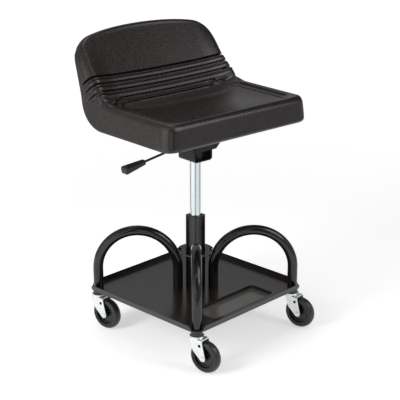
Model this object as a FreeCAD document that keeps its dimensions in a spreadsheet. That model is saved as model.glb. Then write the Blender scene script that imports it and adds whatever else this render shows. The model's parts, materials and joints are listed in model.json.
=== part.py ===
import FreeCAD, Part
import math
import os
import Sketcher

# A mechanic's rolling seat: a moulded seat on a gas lift, over a square tool tray
# that is guarded by four bent tubes and rolls on four swivel casters.
# Millimetres, +Z up. The origin is on the column's axis, at the floor.
# The sitter faces -Y, so the sitter's right hand is at -X.

os.makedirs("parts", exist_ok=True)
doc = FreeCAD.newDocument("CreeperSeat")
sheet = doc.addObject("Spreadsheet::Sheet", "Sizes")
V = FreeCAD.Vector
UP = V(0, 0, 1)


class Size:
    """A number together with the expression that gives it from the sheet."""

    def __init__(self, number, text):
        self.number = float(number)
        self.text = text

    def __float__(self):
        return self.number

    def __add__(self, other):
        other = as_size(other)
        return Size(self.number + other.number, f"({self.text} + {other.text})")

    def __sub__(self, other):
        other = as_size(other)
        return Size(self.number - other.number, f"({self.text} - {other.text})")

    def __mul__(self, other):
        other = as_size(other)
        return Size(self.number * other.number, f"({self.text} * {other.text})")

    def __truediv__(self, other):
        other = as_size(other)
        return Size(self.number / other.number, f"({self.text} / {other.text})")

    def __neg__(self):
        return Size(-self.number, f"(-{self.text})")

    def __radd__(self, other):
        return as_size(other) + self

    def __rmul__(self, other):
        return self * other


def as_size(value):
    return value if isinstance(value, Size) else Size(value, repr(float(value)))


def root(value):
    return Size(math.sqrt(value.number), f"sqrt({value.text})")


ROWS = []


def size(alias, value):
    """One driving dimension in its own row of the sheet."""
    ROWS.append(alias)
    row = len(ROWS)
    sheet.set(f"A{row}", alias)
    sheet.set(f"B{row}", str(value))
    sheet.setAlias(f"B{row}", alias)
    return Size(value, "Sizes." + alias)


ZERO = Size(0, "0")

# Clearances shared by several pieces
fit_gap = size("fit_gap", 0.05)
weld_gap = size("weld_gap", 0.05)
slack = size("slack", 0.3)
overrun = size("overrun", 2)

# Tray
tray_side = size("tray_side", 393)
tray_bottom_z = size("tray_bottom_z", 103.5)
tray_sheet = size("tray_sheet", 1.5)
lip_height = size("lip_height", 12.6)
tray_corner_radius = size("tray_corner_radius", 30)
well_length = size("well_length", 220)
well_width = size("well_width", 78)
well_setback = size("well_setback", 132)
well_depth = size("well_depth", 10)
well_corner_radius = size("well_corner_radius", 12)
lip_notch_top = size("lip_notch_top", 19)
lip_notch_foot = size("lip_notch_foot", 12)
rod_hole_radius = size("rod_hole_radius", 8)
stem_hole_radius = size("stem_hole_radius", 5.5)
bolt_hole_radius = size("bolt_hole_radius", 4.3)

# Guard hoops, bent from round tube along the tray's diagonals
hoop_tube_radius = size("hoop_tube_radius", 12.7)
hoop_wall = size("hoop_wall", 1.6)
hoop_inner_reach = size("hoop_inner_reach", 45)
hoop_outer_reach = size("hoop_outer_reach", 246.6)
hoop_top_z = size("hoop_top_z", 271.3)
plug_length = size("plug_length", 22)
tray_bolt_radius = size("tray_bolt_radius", 3.95)
tray_bolt_head_radius = size("tray_bolt_head_radius", 7.5)
tray_bolt_head_height = size("tray_bolt_head_height", 5.3)

# Square column and the collar that ties it to the hoops
column_side = size("column_side", 38)
column_wall = size("column_wall", 2)
column_corner_radius = size("column_corner_radius", 6)
column_top_z = size("column_top_z", 298)
collar_radius = size("collar_radius", 46)
collar_thickness = size("collar_thickness", 4)
collar_bottom_z = size("collar_bottom_z", 203)
anchor_thickness = size("anchor_thickness", 4)
bush_length = size("bush_length", 52)
bush_flange = size("bush_flange", 1.8)

# Gas lift
cylinder_radius = size("cylinder_radius", 14)
cylinder_wall = size("cylinder_wall", 2)
cylinder_bottom_z = size("cylinder_bottom_z", 243)
taper_drop = size("taper_drop", 0.7)
cylinder_cap = size("cylinder_cap", 12)
rod_radius = size("rod_radius", 5)
rod_end_z = size("rod_end_z", 98)
rod_tip_radius = size("rod_tip_radius", 4)
rod_shoulder_radius = size("rod_shoulder_radius", 8)
rod_shoulder_height = size("rod_shoulder_height", 4)
race_radius = size("race_radius", 11)
race_thickness = size("race_thickness", 1.5)
bearing_ball_radius = size("bearing_ball_radius", 1.6)
bearing_ball_reach = size("bearing_ball_reach", 8.2)
bump_height = size("bump_height", 8)
bump_radius = size("bump_radius", 11.5)
clip_radius = size("clip_radius", 9)
clip_thickness = size("clip_thickness", 1.2)
clip_mouth = size("clip_mouth", 6)
clip_groove_depth = size("clip_groove_depth", 0.8)
gland_setback = size("gland_setback", 2)
gland_height = size("gland_height", 12)
piston_height = size("piston_height", 12)
button_radius = size("button_radius", 3)
button_stand = size("button_stand", 4.5)

# Casters
wheel_radius = size("wheel_radius", 40)
wheel_trail = size("wheel_trail", 26.3)
caster_yaw = size("caster_yaw", 7.7)
tyre_width = size("tyre_width", 22)
tyre_depth = size("tyre_depth", 9)
tread_crown = size("tread_crown", 1.2)
tyre_shoulder = size("tyre_shoulder", 6)
rim_depth = size("rim_depth", 4.5)
rim_width = size("rim_width", 20)
web_width = size("web_width", 7)
hub_radius = size("hub_radius", 9.5)
hub_width = size("hub_width", 25)
ridge_radius = size("ridge_radius", 21)
ridge_width = size("ridge_width", 2.4)
ridge_height = size("ridge_height", 2.6)
fork_sheet = size("fork_sheet", 2.5)
fork_bend = size("fork_bend", 3.5)
fork_waist_reach = size("fork_waist_reach", 0.5)
fork_waist_z = size("fork_waist_z", 54)
fork_gap = size("fork_gap", 26)
fork_top_z = size("fork_top_z", 84.5)
fork_tail = size("fork_tail", 24)
fork_nose = size("fork_nose", 10.4)
fork_foot_radius = size("fork_foot_radius", 8.3)
raceway_radius = size("raceway_radius", 16.6)
raceway_wall = size("raceway_wall", 1.6)
raceway_height = size("raceway_height", 2.2)
leg_hole_radius = size("leg_hole_radius", 3.9)
leg_hole_setback = size("leg_hole_setback", 18)
leg_hole_z = size("leg_hole_z", 70)
axle_radius = size("axle_radius", 4)
axle_head_radius = size("axle_head_radius", 5.5)
axle_head_height = size("axle_head_height", 1.5)
sleeve_wall = size("sleeve_wall", 1.4)
stem_radius = size("stem_radius", 5)
cap_radius = size("cap_radius", 17.3)
cap_thickness = size("cap_thickness", 2)
kingpin_head_radius = size("kingpin_head_radius", 8.5)
kingpin_head_height = size("kingpin_head_height", 2.5)
caster_ball_radius = size("caster_ball_radius", 1.25)
caster_ball_reach = size("caster_ball_reach", 13)
stem_collar_radius = size("stem_collar_radius", 14.5)

# Lift bracket under the seat
seat_yaw = size("seat_yaw", -4.2)
bracket_bottom_z = size("bracket_bottom_z", 445)
bracket_width = size("bracket_width", 58)
bracket_depth = size("bracket_depth", 59)
bracket_sheet = size("bracket_sheet", 2.5)
bracket_bend = size("bracket_bend", 8)
plate_half_width = size("plate_half_width", 44)
plate_half_depth = size("plate_half_depth", 42)
plate_thickness = size("plate_thickness", 3)
flange_bottom_z = size("flange_bottom_z", 475)
flange_slant = size("flange_slant", 13)
flange_slant_height = size("flange_slant_height", 13)
plate_bolt_x = size("plate_bolt_x", 36.5)
plate_bolt_y = size("plate_bolt_y", 30)
plate_bolt_radius = size("plate_bolt_radius", 3)
plate_bolt_head_radius = size("plate_bolt_head_radius", 5.8)
plate_bolt_head_height = size("plate_bolt_head_height", 4)
socket_radius = size("socket_radius", 19)
socket_height = size("socket_height", 31)

# Release lever, whose inner arm presses the lift's button
pivot_reach = size("pivot_reach", 20)
pivot_pin_radius = size("pivot_pin_radius", 2.5)
pivot_head_radius = size("pivot_head_radius", 4)
pivot_head_height = size("pivot_head_height", 1.5)
ear_height = size("ear_height", 16)
ear_depth = size("ear_depth", 13)
arm_width = size("arm_width", 8)
arm_height = size("arm_height", 9)
arm_tip = size("arm_tip", 6)
arm_outside = size("arm_outside", 6)
arm_slot_margin = size("arm_slot_margin", 3.5)
lever_droop = size("lever_droop", 8.6)
lever_rod_radius = size("lever_rod_radius", 2.9)
lever_rod_length = size("lever_rod_length", 170)
grip_start = size("grip_start", 129)
grip_length = size("grip_length", 64)
grip_root_width = size("grip_root_width", 14)
grip_root_depth = size("grip_root_depth", 13)
grip_tip_width = size("grip_tip_width", 24)
grip_tip_depth = size("grip_tip_depth", 19)
grip_corner_radius = size("grip_corner_radius", 5)
grip_end_radius = size("grip_end_radius", 4.5)
grip_recess_depth = size("grip_recess_depth", 1.6)
grip_recess_width = size("grip_recess_width", 8)
grip_recess_end = size("grip_recess_end", 10)

# Moulded seat with its backrest
seat_width = size("seat_width", 437)
seat_front = size("seat_front", 163)
seat_bottom_z = size("seat_bottom_z", 534.5)
seat_rim_z = size("seat_rim_z", 598)
pan_dish = size("pan_dish", 7)
pan_rim_width = size("pan_rim_width", 44)
shoulder_radius = size("shoulder_radius", 17)
toe_radius = size("toe_radius", 8)
front_draft = size("front_draft", 2)
side_round = size("side_round", 7.4)
corner_round = size("corner_round", 24)
heel_y = size("heel_y", 82)
heel_mid_y = size("heel_mid_y", 141)
heel_mid_z = size("heel_mid_z", 555)
rear_low_y = size("rear_low_y", 166.3)
rear_low_z = size("rear_low_z", 600)
rear_lean = size("rear_lean", 14.9)
rear_bulge = size("rear_bulge", 16.8)
crease_y = size("crease_y", 84)
crease_z = size("crease_z", 600.6)
face_low_y = size("face_low_y", 95.3)
face_low_z = size("face_low_z", 607)
face_lean = size("face_lean", 38)
wing_sweep = size("wing_sweep", 9)
bead_pitch = size("bead_pitch", 16.3)
bead_height = size("bead_height", 3.6)
back_top_z = size("back_top_z", 757)
back_crown = size("back_crown", 19.4)
back_corner_round = size("back_corner_round", 61.5)
crest_drop = size("crest_drop", 9.3)
wing_droop = size("wing_droop", 10)
wing_round = size("wing_round", 28)
channel_radius = size("channel_radius", 3)
channel_pitch = size("channel_pitch", 13)
channel_inset = size("channel_inset", 43)
channel_front = size("channel_front", 113)
board_half_width = size("board_half_width", 150)
board_half_depth = size("board_half_depth", 110)
board_thickness = size("board_thickness", 12)
board_proud = size("board_proud", 2.5)

doc.recompute()

# Places that several pieces share
tray_floor_z = tray_bottom_z + tray_sheet
stem_offset = hoop_outer_reach / root(as_size(2))
inner_offset = hoop_inner_reach / root(as_size(2))
cap_bottom_z = fork_top_z + 2 * caster_ball_radius
cap_top_z = cap_bottom_z + cap_thickness
column_bore_half = column_side / 2 - column_wall
anchor_top_z = tray_floor_z + anchor_thickness
ball_seat_z = anchor_top_z + race_thickness
upper_race_z = ball_seat_z + 2 * bearing_ball_radius + fit_gap
shoulder_z = upper_race_z + race_thickness
bump_z = shoulder_z + rod_shoulder_height
clip_z = tray_bottom_z - slack - clip_thickness
bore_radius = cylinder_radius - cylinder_wall
gland_z = cylinder_bottom_z + gland_setback
piston_z = gland_z + gland_height + gland_setback
taper_z = bracket_bottom_z + bracket_sheet
cylinder_top_z = taper_z + socket_height + gland_setback
button_top_z = cylinder_top_z + button_stand
pivot_z = button_top_z + slack + arm_height / 2
board_bottom_z = seat_bottom_z - board_proud
plate_bottom_z = board_bottom_z - plate_thickness
fork_outer_half = fork_gap / 2 + fork_sheet

CORNERS = (
    ("front_right", -1, -1, 225),
    ("front_left", 1, -1, 315),
    ("rear_right", -1, 1, 135),
    ("rear_left", 1, 1, 45),
)

subparts = []


def bind(obj, path, value):
    """Ties one property to the sheet."""
    obj.setExpression(path, as_size(value).text)


def place(obj, x=ZERO, y=ZERO, z=ZERO, axis=UP, turn=None):
    """Puts an object at a point, turned about an axis by an angle from the sheet."""
    obj.Placement = FreeCAD.Placement(V(0, 0, 0), FreeCAD.Rotation(axis, float(turn or 0)))
    for letter, value in zip("xyz", (x, y, z)):
        bind(obj, "Placement.Base." + letter, value)
    if turn is not None:
        obj.setExpression("Placement.Rotation.Angle", f"{as_size(turn).text} * 1 deg")


def keep(obj, name):
    """Names a finished sub-part, which is written to a file of that name."""
    obj.Label = name
    subparts.append(obj)
    return obj


def new_body(name):
    return doc.addObject("PartDesign::Body", name)


def new_sketch(body, name, role, offset=None):
    """A sketch on one of the body's own origin planes, or level with it at an offset."""
    plane = next(item for item in body.Origin.OriginFeatures if item.Role == role)
    sketch = body.newObject("Sketcher::SketchObject", name)
    sketch.AttachmentSupport = [(plane, "")]
    sketch.MapMode = "FlatFace"
    if offset is not None:
        bind(sketch, "AttachmentOffset.Base.z", offset)
    return sketch


def pin_point(sketch, geometry, end, x, y):
    """Holds a sketch point at its distances from the sketch's origin."""
    for kind, value, axis in (("DistanceX", as_size(x), -2), ("DistanceY", as_size(y), -1)):
        if value.text == ZERO.text:
            sketch.addConstraint(Sketcher.Constraint("PointOnObject", geometry, end, axis))
            continue
        rule = Sketcher.Constraint(kind, -1, 1, geometry, end, value.number)
        number = sketch.addConstraint(rule)
        sketch.setExpression(f"Constraints[{number}]", value.text)


def pin_centre(sketch, geometry, centre, chord):
    """Holds an arc's centre across its chord; its two ends already hold the rest."""
    if abs(chord.x) >= abs(chord.y):
        kind, value, axis = "DistanceY", as_size(centre[1]), -1
    else:
        kind, value, axis = "DistanceX", as_size(centre[0]), -2
    if value.text == ZERO.text:
        sketch.addConstraint(Sketcher.Constraint("PointOnObject", geometry, 3, axis))
        return
    rule = Sketcher.Constraint(kind, -1, 1, geometry, 3, value.number)
    number = sketch.addConstraint(rule)
    sketch.setExpression(f"Constraints[{number}]", value.text)


def draw(sketch, corners, arcs=None, closed=True):
    """Joins the corners in turn. A side named in arcs bends about a centre, with
    a turn of 1 for anticlockwise and -1 for clockwise."""
    arcs = arcs or {}
    points = [V(float(x), float(y), 0) for x, y in corners]
    count = len(points) if closed else len(points) - 1
    ends = []
    for side in range(count):
        first, last = points[side], points[(side + 1) % len(points)]
        order = (1, 2)
        if side in arcs:
            centre, turn = arcs[side]
            middle = V(float(centre[0]), float(centre[1]), 0)
            circle = Part.Circle(middle, UP, (first - middle).Length)
            start = math.atan2(first.y - middle.y, first.x - middle.x)
            stop = math.atan2(last.y - middle.y, last.x - middle.x)
            if turn < 0:
                start, stop, order = stop, start, (2, 1)
            shape = Part.ArcOfCircle(circle, start, stop)
        else:
            shape = Part.LineSegment(first, last)
        ends.append((sketch.addGeometry(shape, False),) + order)
    for side in range(count if closed else count - 1):
        here, after = ends[side], ends[(side + 1) % len(ends)]
        sketch.addConstraint(Sketcher.Constraint("Coincident", here[0], here[2], after[0], after[1]))
    for corner, (x, y) in enumerate(corners):
        if corner < count:
            pin_point(sketch, ends[corner][0], ends[corner][1], x, y)
        else:
            pin_point(sketch, ends[-1][0], ends[-1][2], x, y)
    for side, (centre, turn) in arcs.items():
        chord = points[(side + 1) % len(points)] - points[side]
        pin_centre(sketch, ends[side][0], centre, chord)


def draw_circle(sketch, radius, x=ZERO, y=ZERO):
    circle = Part.Circle(V(float(x), float(y), 0), UP, float(radius))
    number = sketch.addGeometry(circle, False)
    pin_point(sketch, number, 3, x, y)
    rule = sketch.addConstraint(Sketcher.Constraint("Radius", number, float(radius)))
    sketch.setExpression(f"Constraints[{rule}]", as_size(radius).text)


def draw_rounded(sketch, half_x, half_y, radius, x=ZERO, y=ZERO):
    """A rectangle with round corners about a centre."""
    left, right = x - half_x, x + half_x
    low, high = y - half_y, y + half_y
    corners = (
        (left + radius, low), (right - radius, low),
        (right, low + radius), (right, high - radius),
        (right - radius, high), (left + radius, high),
        (left, high - radius), (left, low + radius),
    )
    arcs = {
        1: ((right - radius, low + radius), 1),
        3: ((right - radius, high - radius), 1),
        5: ((left + radius, high - radius), 1),
        7: ((left + radius, low + radius), 1),
    }
    draw(sketch, corners, arcs)


def draw_rectangle(sketch, low, high):
    draw(sketch, ((low[0], low[1]), (high[0], low[1]), (high[0], high[1]), (low[0], high[1])))


def grow(body, kind, name, sketch, length, back=False, both=False):
    """A Pad or a Pocket of one length, the other way if back, or half each way."""
    feature = body.newObject("PartDesign::" + kind, name)
    feature.Profile = sketch
    bind(feature, "Length", length)
    feature.Reversed = back
    feature.Midplane = both
    return feature


def pad(body, name, sketch, length, back=False, both=False):
    return grow(body, "Pad", name, sketch, length, back, both)


def pocket(body, name, sketch, length, back=False, both=False):
    return grow(body, "Pocket", name, sketch, length, back, both)


def repeat_round(body, name, feature, count):
    """Repeats a feature about the body's Z axis."""
    axis = next(item for item in body.Origin.OriginFeatures if item.Role == "Z_Axis")
    pattern = body.newObject("PartDesign::PolarPattern", name)
    pattern.Originals = [feature]
    pattern.Axis = (axis, [""])
    pattern.Angle = 360
    pattern.Occurrences = count
    body.Tip = pattern
    return pattern


def spin(body, name, corners, arcs=None, role="XZ_Plane", axis="V_Axis"):
    """A solid of revolution whose outline is drawn as (radius, height)."""
    sketch = new_sketch(body, name + "_outline", role)
    draw(sketch, corners, arcs)
    feature = body.newObject("PartDesign::Revolution", name)
    feature.Profile = sketch
    feature.ReferenceAxis = (sketch, [axis])
    feature.Angle = 360
    return feature


def box(name, low, high):
    solid = doc.addObject("Part::Box", name)
    for path, first, last in zip(("Length", "Width", "Height"), low, high):
        bind(solid, path, as_size(last) - first)
    place(solid, *low)
    return solid


def rod(name, radius, x, y, z, height, axis=UP, turn=None):
    solid = doc.addObject("Part::Cylinder", name)
    bind(solid, "Radius", radius)
    bind(solid, "Height", height)
    place(solid, x, y, z, axis, turn)
    return solid


def hexagon(name, radius, x, y, z, height):
    solid = doc.addObject("Part::Prism", name)
    solid.Polygon = 6
    bind(solid, "Circumradius", radius)
    bind(solid, "Height", height)
    place(solid, x, y, z)
    return solid


def ball(name, radius, x, y, z):
    solid = doc.addObject("Part::Sphere", name)
    bind(solid, "Radius", radius)
    place(solid, x, y, z)
    return solid


def cut(name, base, tool):
    result = doc.addObject("Part::Cut", name)
    result.Base = base
    result.Tool = tool
    return result


def fuse(name, pieces):
    result = doc.addObject("Part::MultiFuse", name)
    result.Shapes = pieces
    return result


def group(name, pieces):
    result = doc.addObject("Part::Compound", name)
    result.Links = pieces
    return result


def ring_of_balls(name, count, radius, reach, z):
    """Separate balls, evenly spaced about the Z axis."""
    balls = []
    for number in range(count):
        angle = 2 * math.pi * number / count
        x, y = reach * round(math.cos(angle), 9), reach * round(math.sin(angle), 9)
        balls.append(ball(f"{name}_{number}", radius, x, y, z))
    return group(name + "_ring", balls)


def tube(name, outer, inner, z, height):
    solid = cut(name, rod(name + "_outside", outer, ZERO, ZERO, z, height),
                rod(name + "_inside", inner, ZERO, ZERO, z - overrun, height + 2 * overrun))
    return solid


# Tray, its lip, its sunk well and its holes
def make_tray():
    body = new_body("tray")
    half = tray_side / 2
    outside = new_sketch(body, "tray_outside", "XY_Plane", tray_bottom_z)
    draw_rounded(outside, half, half, tray_corner_radius)
    pad(body, "tray_block", outside, lip_height)
    inside = new_sketch(body, "tray_inside", "XY_Plane", tray_floor_z)
    inner = half - tray_sheet
    draw_rounded(inside, inner, inner, tray_corner_radius - tray_sheet)
    pocket(body, "tray_room", inside, lip_height, back=True)

    length, width, centre = well_length / 2, well_width / 2, -well_setback
    well_bottom_z = tray_bottom_z - well_depth
    under = new_sketch(body, "well_outside", "XY_Plane", well_bottom_z)
    draw_rounded(under, length, width, well_corner_radius, ZERO, centre)
    pad(body, "well_block", under, well_depth)
    hollow = new_sketch(body, "well_inside", "XY_Plane", well_bottom_z + tray_sheet)
    draw_rounded(hollow, length - tray_sheet, width - tray_sheet,
                 well_corner_radius - tray_sheet, ZERO, centre)
    pocket(body, "well_room", hollow, well_depth + overrun, back=True)

    corner = new_sketch(body, "corner_holes", "XY_Plane", tray_floor_z + overrun)
    draw_circle(corner, stem_hole_radius, stem_offset, stem_offset)
    draw_circle(corner, bolt_hole_radius, inner_offset, inner_offset)
    holes = pocket(body, "corner_hole_pair", corner, tray_sheet + 2 * overrun)
    repeat_round(body, "corner_hole_pairs", holes, 4)
    notch = new_sketch(body, "lip_notch", "XZ_Plane")
    notch.AttachmentOffset = FreeCAD.Placement(V(0, 0, 0), FreeCAD.Rotation(V(0, 1, 0), 45))
    lip_top_z = tray_bottom_z + lip_height
    draw(notch, (
        (-lip_notch_foot, tray_floor_z), (lip_notch_foot, tray_floor_z),
        (lip_notch_top, lip_top_z), (lip_notch_top, lip_top_z + overrun),
        (-lip_notch_top, lip_top_z + overrun), (-lip_notch_top, lip_top_z),
    ))
    bite = pocket(body, "lip_notch_cut", notch, tray_side)
    repeat_round(body, "lip_notches", bite, 4)
    middle = new_sketch(body, "rod_hole", "XY_Plane", tray_floor_z + overrun)
    draw_circle(middle, rod_hole_radius)
    pocket(body, "rod_hole_cut", middle, tray_sheet + 2 * overrun)
    keep(body, "tray")


# A hoop: one bent tube standing on the tray, in a plane through the column's axis
def make_hoop(corner, turn):
    name = "hoop_" + corner
    body = new_body(name)
    arch_radius = (hoop_outer_reach - hoop_inner_reach) / 2
    arch_z = hoop_top_z - hoop_tube_radius - arch_radius
    spine = new_sketch(body, name + "_line", "XZ_Plane")
    line = (
        (hoop_inner_reach, tray_floor_z), (hoop_inner_reach, arch_z),
        (hoop_outer_reach, arch_z), (hoop_outer_reach, tray_floor_z),
    )
    draw(spine, line, {1: ((hoop_inner_reach + arch_radius, arch_z), -1)}, closed=False)
    ring = new_sketch(body, name + "_ring", "XY_Plane", tray_floor_z)
    draw_circle(ring, hoop_tube_radius, hoop_inner_reach)
    draw_circle(ring, hoop_tube_radius - hoop_wall, hoop_inner_reach)
    doc.recompute()
    bend = body.newObject("PartDesign::AdditivePipe", name + "_tube")
    bend.Profile = ring
    bend.Spine = (spine, ["Edge1", "Edge2", "Edge3"])
    body.Placement = FreeCAD.Placement(V(0, 0, 0), FreeCAD.Rotation(UP, turn))
    keep(body, name)


# Square column with its anchor plate, and the collar that the hoops are welded to
def make_column():
    body = new_body("column")
    half = column_side / 2
    outside = new_sketch(body, "column_outside", "XY_Plane", tray_floor_z)
    draw_rounded(outside, half, half, column_corner_radius)
    pad(body, "column_block", outside, column_top_z - tray_floor_z)
    inside = new_sketch(body, "column_inside", "XY_Plane", tray_floor_z - overrun)
    draw_rounded(inside, column_bore_half, column_bore_half, column_corner_radius - column_wall)
    pocket(body, "column_room", inside, column_top_z - tray_floor_z + 2 * overrun, back=True)
    keep(body, "column")

    collar = new_body("hoop_collar")
    rim = new_sketch(collar, "collar_rim", "XY_Plane", collar_bottom_z)
    draw_circle(rim, collar_radius)
    draw_rounded(rim, half + weld_gap, half + weld_gap, column_corner_radius + weld_gap)
    pad(collar, "collar_plate", rim, collar_thickness)
    notch = new_sketch(collar, "hoop_notch", "XY_Plane", collar_bottom_z - overrun)
    draw_circle(notch, hoop_tube_radius + weld_gap, inner_offset, inner_offset)
    bite = pocket(collar, "hoop_notch_cut", notch, collar_thickness + 2 * overrun, back=True)
    repeat_round(collar, "hoop_notches", bite, 4)
    keep(collar, "hoop_collar")

    anchor = new_body("anchor_plate")
    plan = new_sketch(anchor, "anchor_plan", "XY_Plane", tray_floor_z)
    reach = column_bore_half - weld_gap
    draw_rounded(plan, reach, reach, column_corner_radius - column_wall - weld_gap)
    draw_circle(plan, rod_radius + fit_gap)
    pad(anchor, "anchor_block", plan, anchor_thickness)
    keep(anchor, "anchor_plate")


# Plastic bush in the column's mouth, in which the lift slides and turns
def make_guide_bush():
    body = new_body("guide_bush")
    flange = new_sketch(body, "bush_flange_plan", "XY_Plane", column_top_z)
    half = column_side / 2
    draw_rounded(flange, half, half, column_corner_radius)
    draw_circle(flange, cylinder_radius + fit_gap)
    pad(body, "bush_flange_block", flange, bush_flange)
    sleeve = new_sketch(body, "bush_plan", "XY_Plane", column_top_z - bush_length)
    reach = column_bore_half - weld_gap
    draw_rounded(sleeve, reach, reach, column_corner_radius - column_wall - weld_gap)
    draw_circle(sleeve, cylinder_radius + fit_gap)
    pad(body, "bush_block", sleeve, bush_length)
    keep(body, "guide_bush")


# Plugs in the hoops' legs, and the bolts and collars that hold the tray to them
def make_leg_fixings():
    plug_radius = hoop_tube_radius - hoop_wall - weld_gap
    for label, offset, hole in (("outer_leg_plugs", stem_offset, stem_radius + fit_gap),
                                ("inner_leg_plugs", inner_offset, tray_bolt_radius + fit_gap)):
        plugs = []
        for corner, side, end, turn in CORNERS:
            name = f"{label}_{corner}"
            x, y = offset * side, offset * end
            block = rod(name + "_block", plug_radius, x, y, tray_floor_z, plug_length)
            drill = rod(name + "_drill", hole, x, y, tray_floor_z - overrun,
                        plug_length + 2 * overrun)
            plugs.append(cut(name, block, drill))
        keep(group(label + "_group", plugs), label)

    bolts, collars = [], []
    for corner, side, end, turn in CORNERS:
        x, y = inner_offset * side, inner_offset * end
        head = hexagon("tray_bolt_head_" + corner, tray_bolt_head_radius, x, y,
                       tray_bottom_z - tray_bolt_head_height, tray_bolt_head_height)
        shank = rod("tray_bolt_shank_" + corner, tray_bolt_radius, x, y,
                    tray_bottom_z - tray_bolt_head_height,
                    tray_bolt_head_height + tray_sheet + plug_length)
        bolts.append(fuse("tray_bolt_" + corner, [head, shank]))
        x, y = stem_offset * side, stem_offset * end
        ring = rod("stem_collar_block_" + corner, stem_collar_radius, x, y, cap_top_z,
                   tray_bottom_z - cap_top_z)
        hole = rod("stem_collar_hole_" + corner, stem_radius + fit_gap, x, y,
                   cap_top_z - overrun, tray_bottom_z - cap_top_z + 2 * overrun)
        collars.append(cut("stem_collar_" + corner, ring, hole))
    keep(group("tray_bolts_group", bolts), "tray_bolts")
    keep(group("stem_collars_group", collars), "stem_collars")


# Bearing that the lift's rod turns on, at the foot of the column
def make_thrust_bearing():
    lower = tube("lower_race", race_radius, rod_radius + slack, anchor_top_z, race_thickness)
    balls = ring_of_balls("bearing_balls", 10, bearing_ball_radius, bearing_ball_reach,
                          ball_seat_z + bearing_ball_radius)
    keep(group("thrust_bearing_group", [lower, balls]), "thrust_bearing")
    upper = tube("upper_race_ring", race_radius, rod_radius + fit_gap, upper_race_z,
                 race_thickness - fit_gap)
    keep(upper, "upper_race")


# Lift's rod, with its clip under the tray, its rubber stop and its piston
def make_piston_rod():
    body = new_body("piston_rod")
    groove = rod_radius - clip_groove_depth
    clip_top = clip_z + clip_thickness
    tip_z = piston_z + piston_height
    outline = (
        (ZERO, rod_end_z), (rod_radius, rod_end_z), (rod_radius, clip_z), (groove, clip_z),
        (groove, clip_top), (rod_radius, clip_top), (rod_radius, shoulder_z),
        (rod_shoulder_radius, shoulder_z), (rod_shoulder_radius, bump_z),
        (rod_radius, bump_z), (rod_radius, piston_z), (rod_tip_radius, piston_z),
        (rod_tip_radius, tip_z), (ZERO, tip_z),
    )
    spin(body, "piston_rod_turned", outline)
    keep(body, "piston_rod")

    ring = tube("clip_ring", clip_radius, groove + fit_gap, clip_z, clip_thickness)
    mouth = box("clip_mouth_cut", (ZERO, -clip_mouth / 2, clip_z - overrun),
                (clip_radius + overrun, clip_mouth / 2, clip_top + overrun))
    keep(cut("clip_open_ring", ring, mouth), "retaining_clip")
    keep(tube("bump_stop_ring", bump_radius, rod_radius + fit_gap, bump_z, bump_height), "bump_stop")
    keep(tube("piston_ring", bore_radius - fit_gap, rod_tip_radius + fit_gap, piston_z,
              piston_height), "piston")


# Lift's cylinder with its tapered head, its gland and the socket that holds it
def make_gas_cylinder():
    body = new_body("gas_cylinder")
    head = cylinder_radius - taper_drop
    chamber_top = cylinder_top_z - cylinder_cap
    hole = button_radius + fit_gap
    outline = (
        (bore_radius, cylinder_bottom_z), (cylinder_radius, cylinder_bottom_z),
        (cylinder_radius, taper_z), (head, cylinder_top_z), (hole, cylinder_top_z),
        (hole, chamber_top), (bore_radius, chamber_top),
    )
    spin(body, "cylinder_turned", outline)
    in_seat(body, "gas_cylinder")

    gland = tube("gland_ring", bore_radius - fit_gap, rod_radius + fit_gap, gland_z, gland_height)
    in_seat(gland, "rod_gland")

    socket = new_body("lift_socket")
    top = taper_z + socket_height
    slope = taper_drop * (socket_height / (socket_height + gland_setback))
    near = cylinder_radius + weld_gap
    walls = (
        (near, taper_z), (socket_radius, taper_z), (socket_radius, top), (near - slope, top),
    )
    spin(socket, "socket_turned", walls)
    in_seat(socket, "lift_socket")

    button = rod("button_pin", button_radius, ZERO, ZERO, chamber_top, button_top_z - chamber_top)
    in_seat(button, "release_button")


def in_seat(obj, name):
    """Turns a piece with the seat, which stands a little askew over the tray."""
    obj.Label = name + "_straight"
    holder = group(name + "_turned_with_seat", [obj])
    holder.setExpression("Placement.Rotation.Angle", f"{seat_yaw.text} * 1 deg")
    keep(holder, name)


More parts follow.
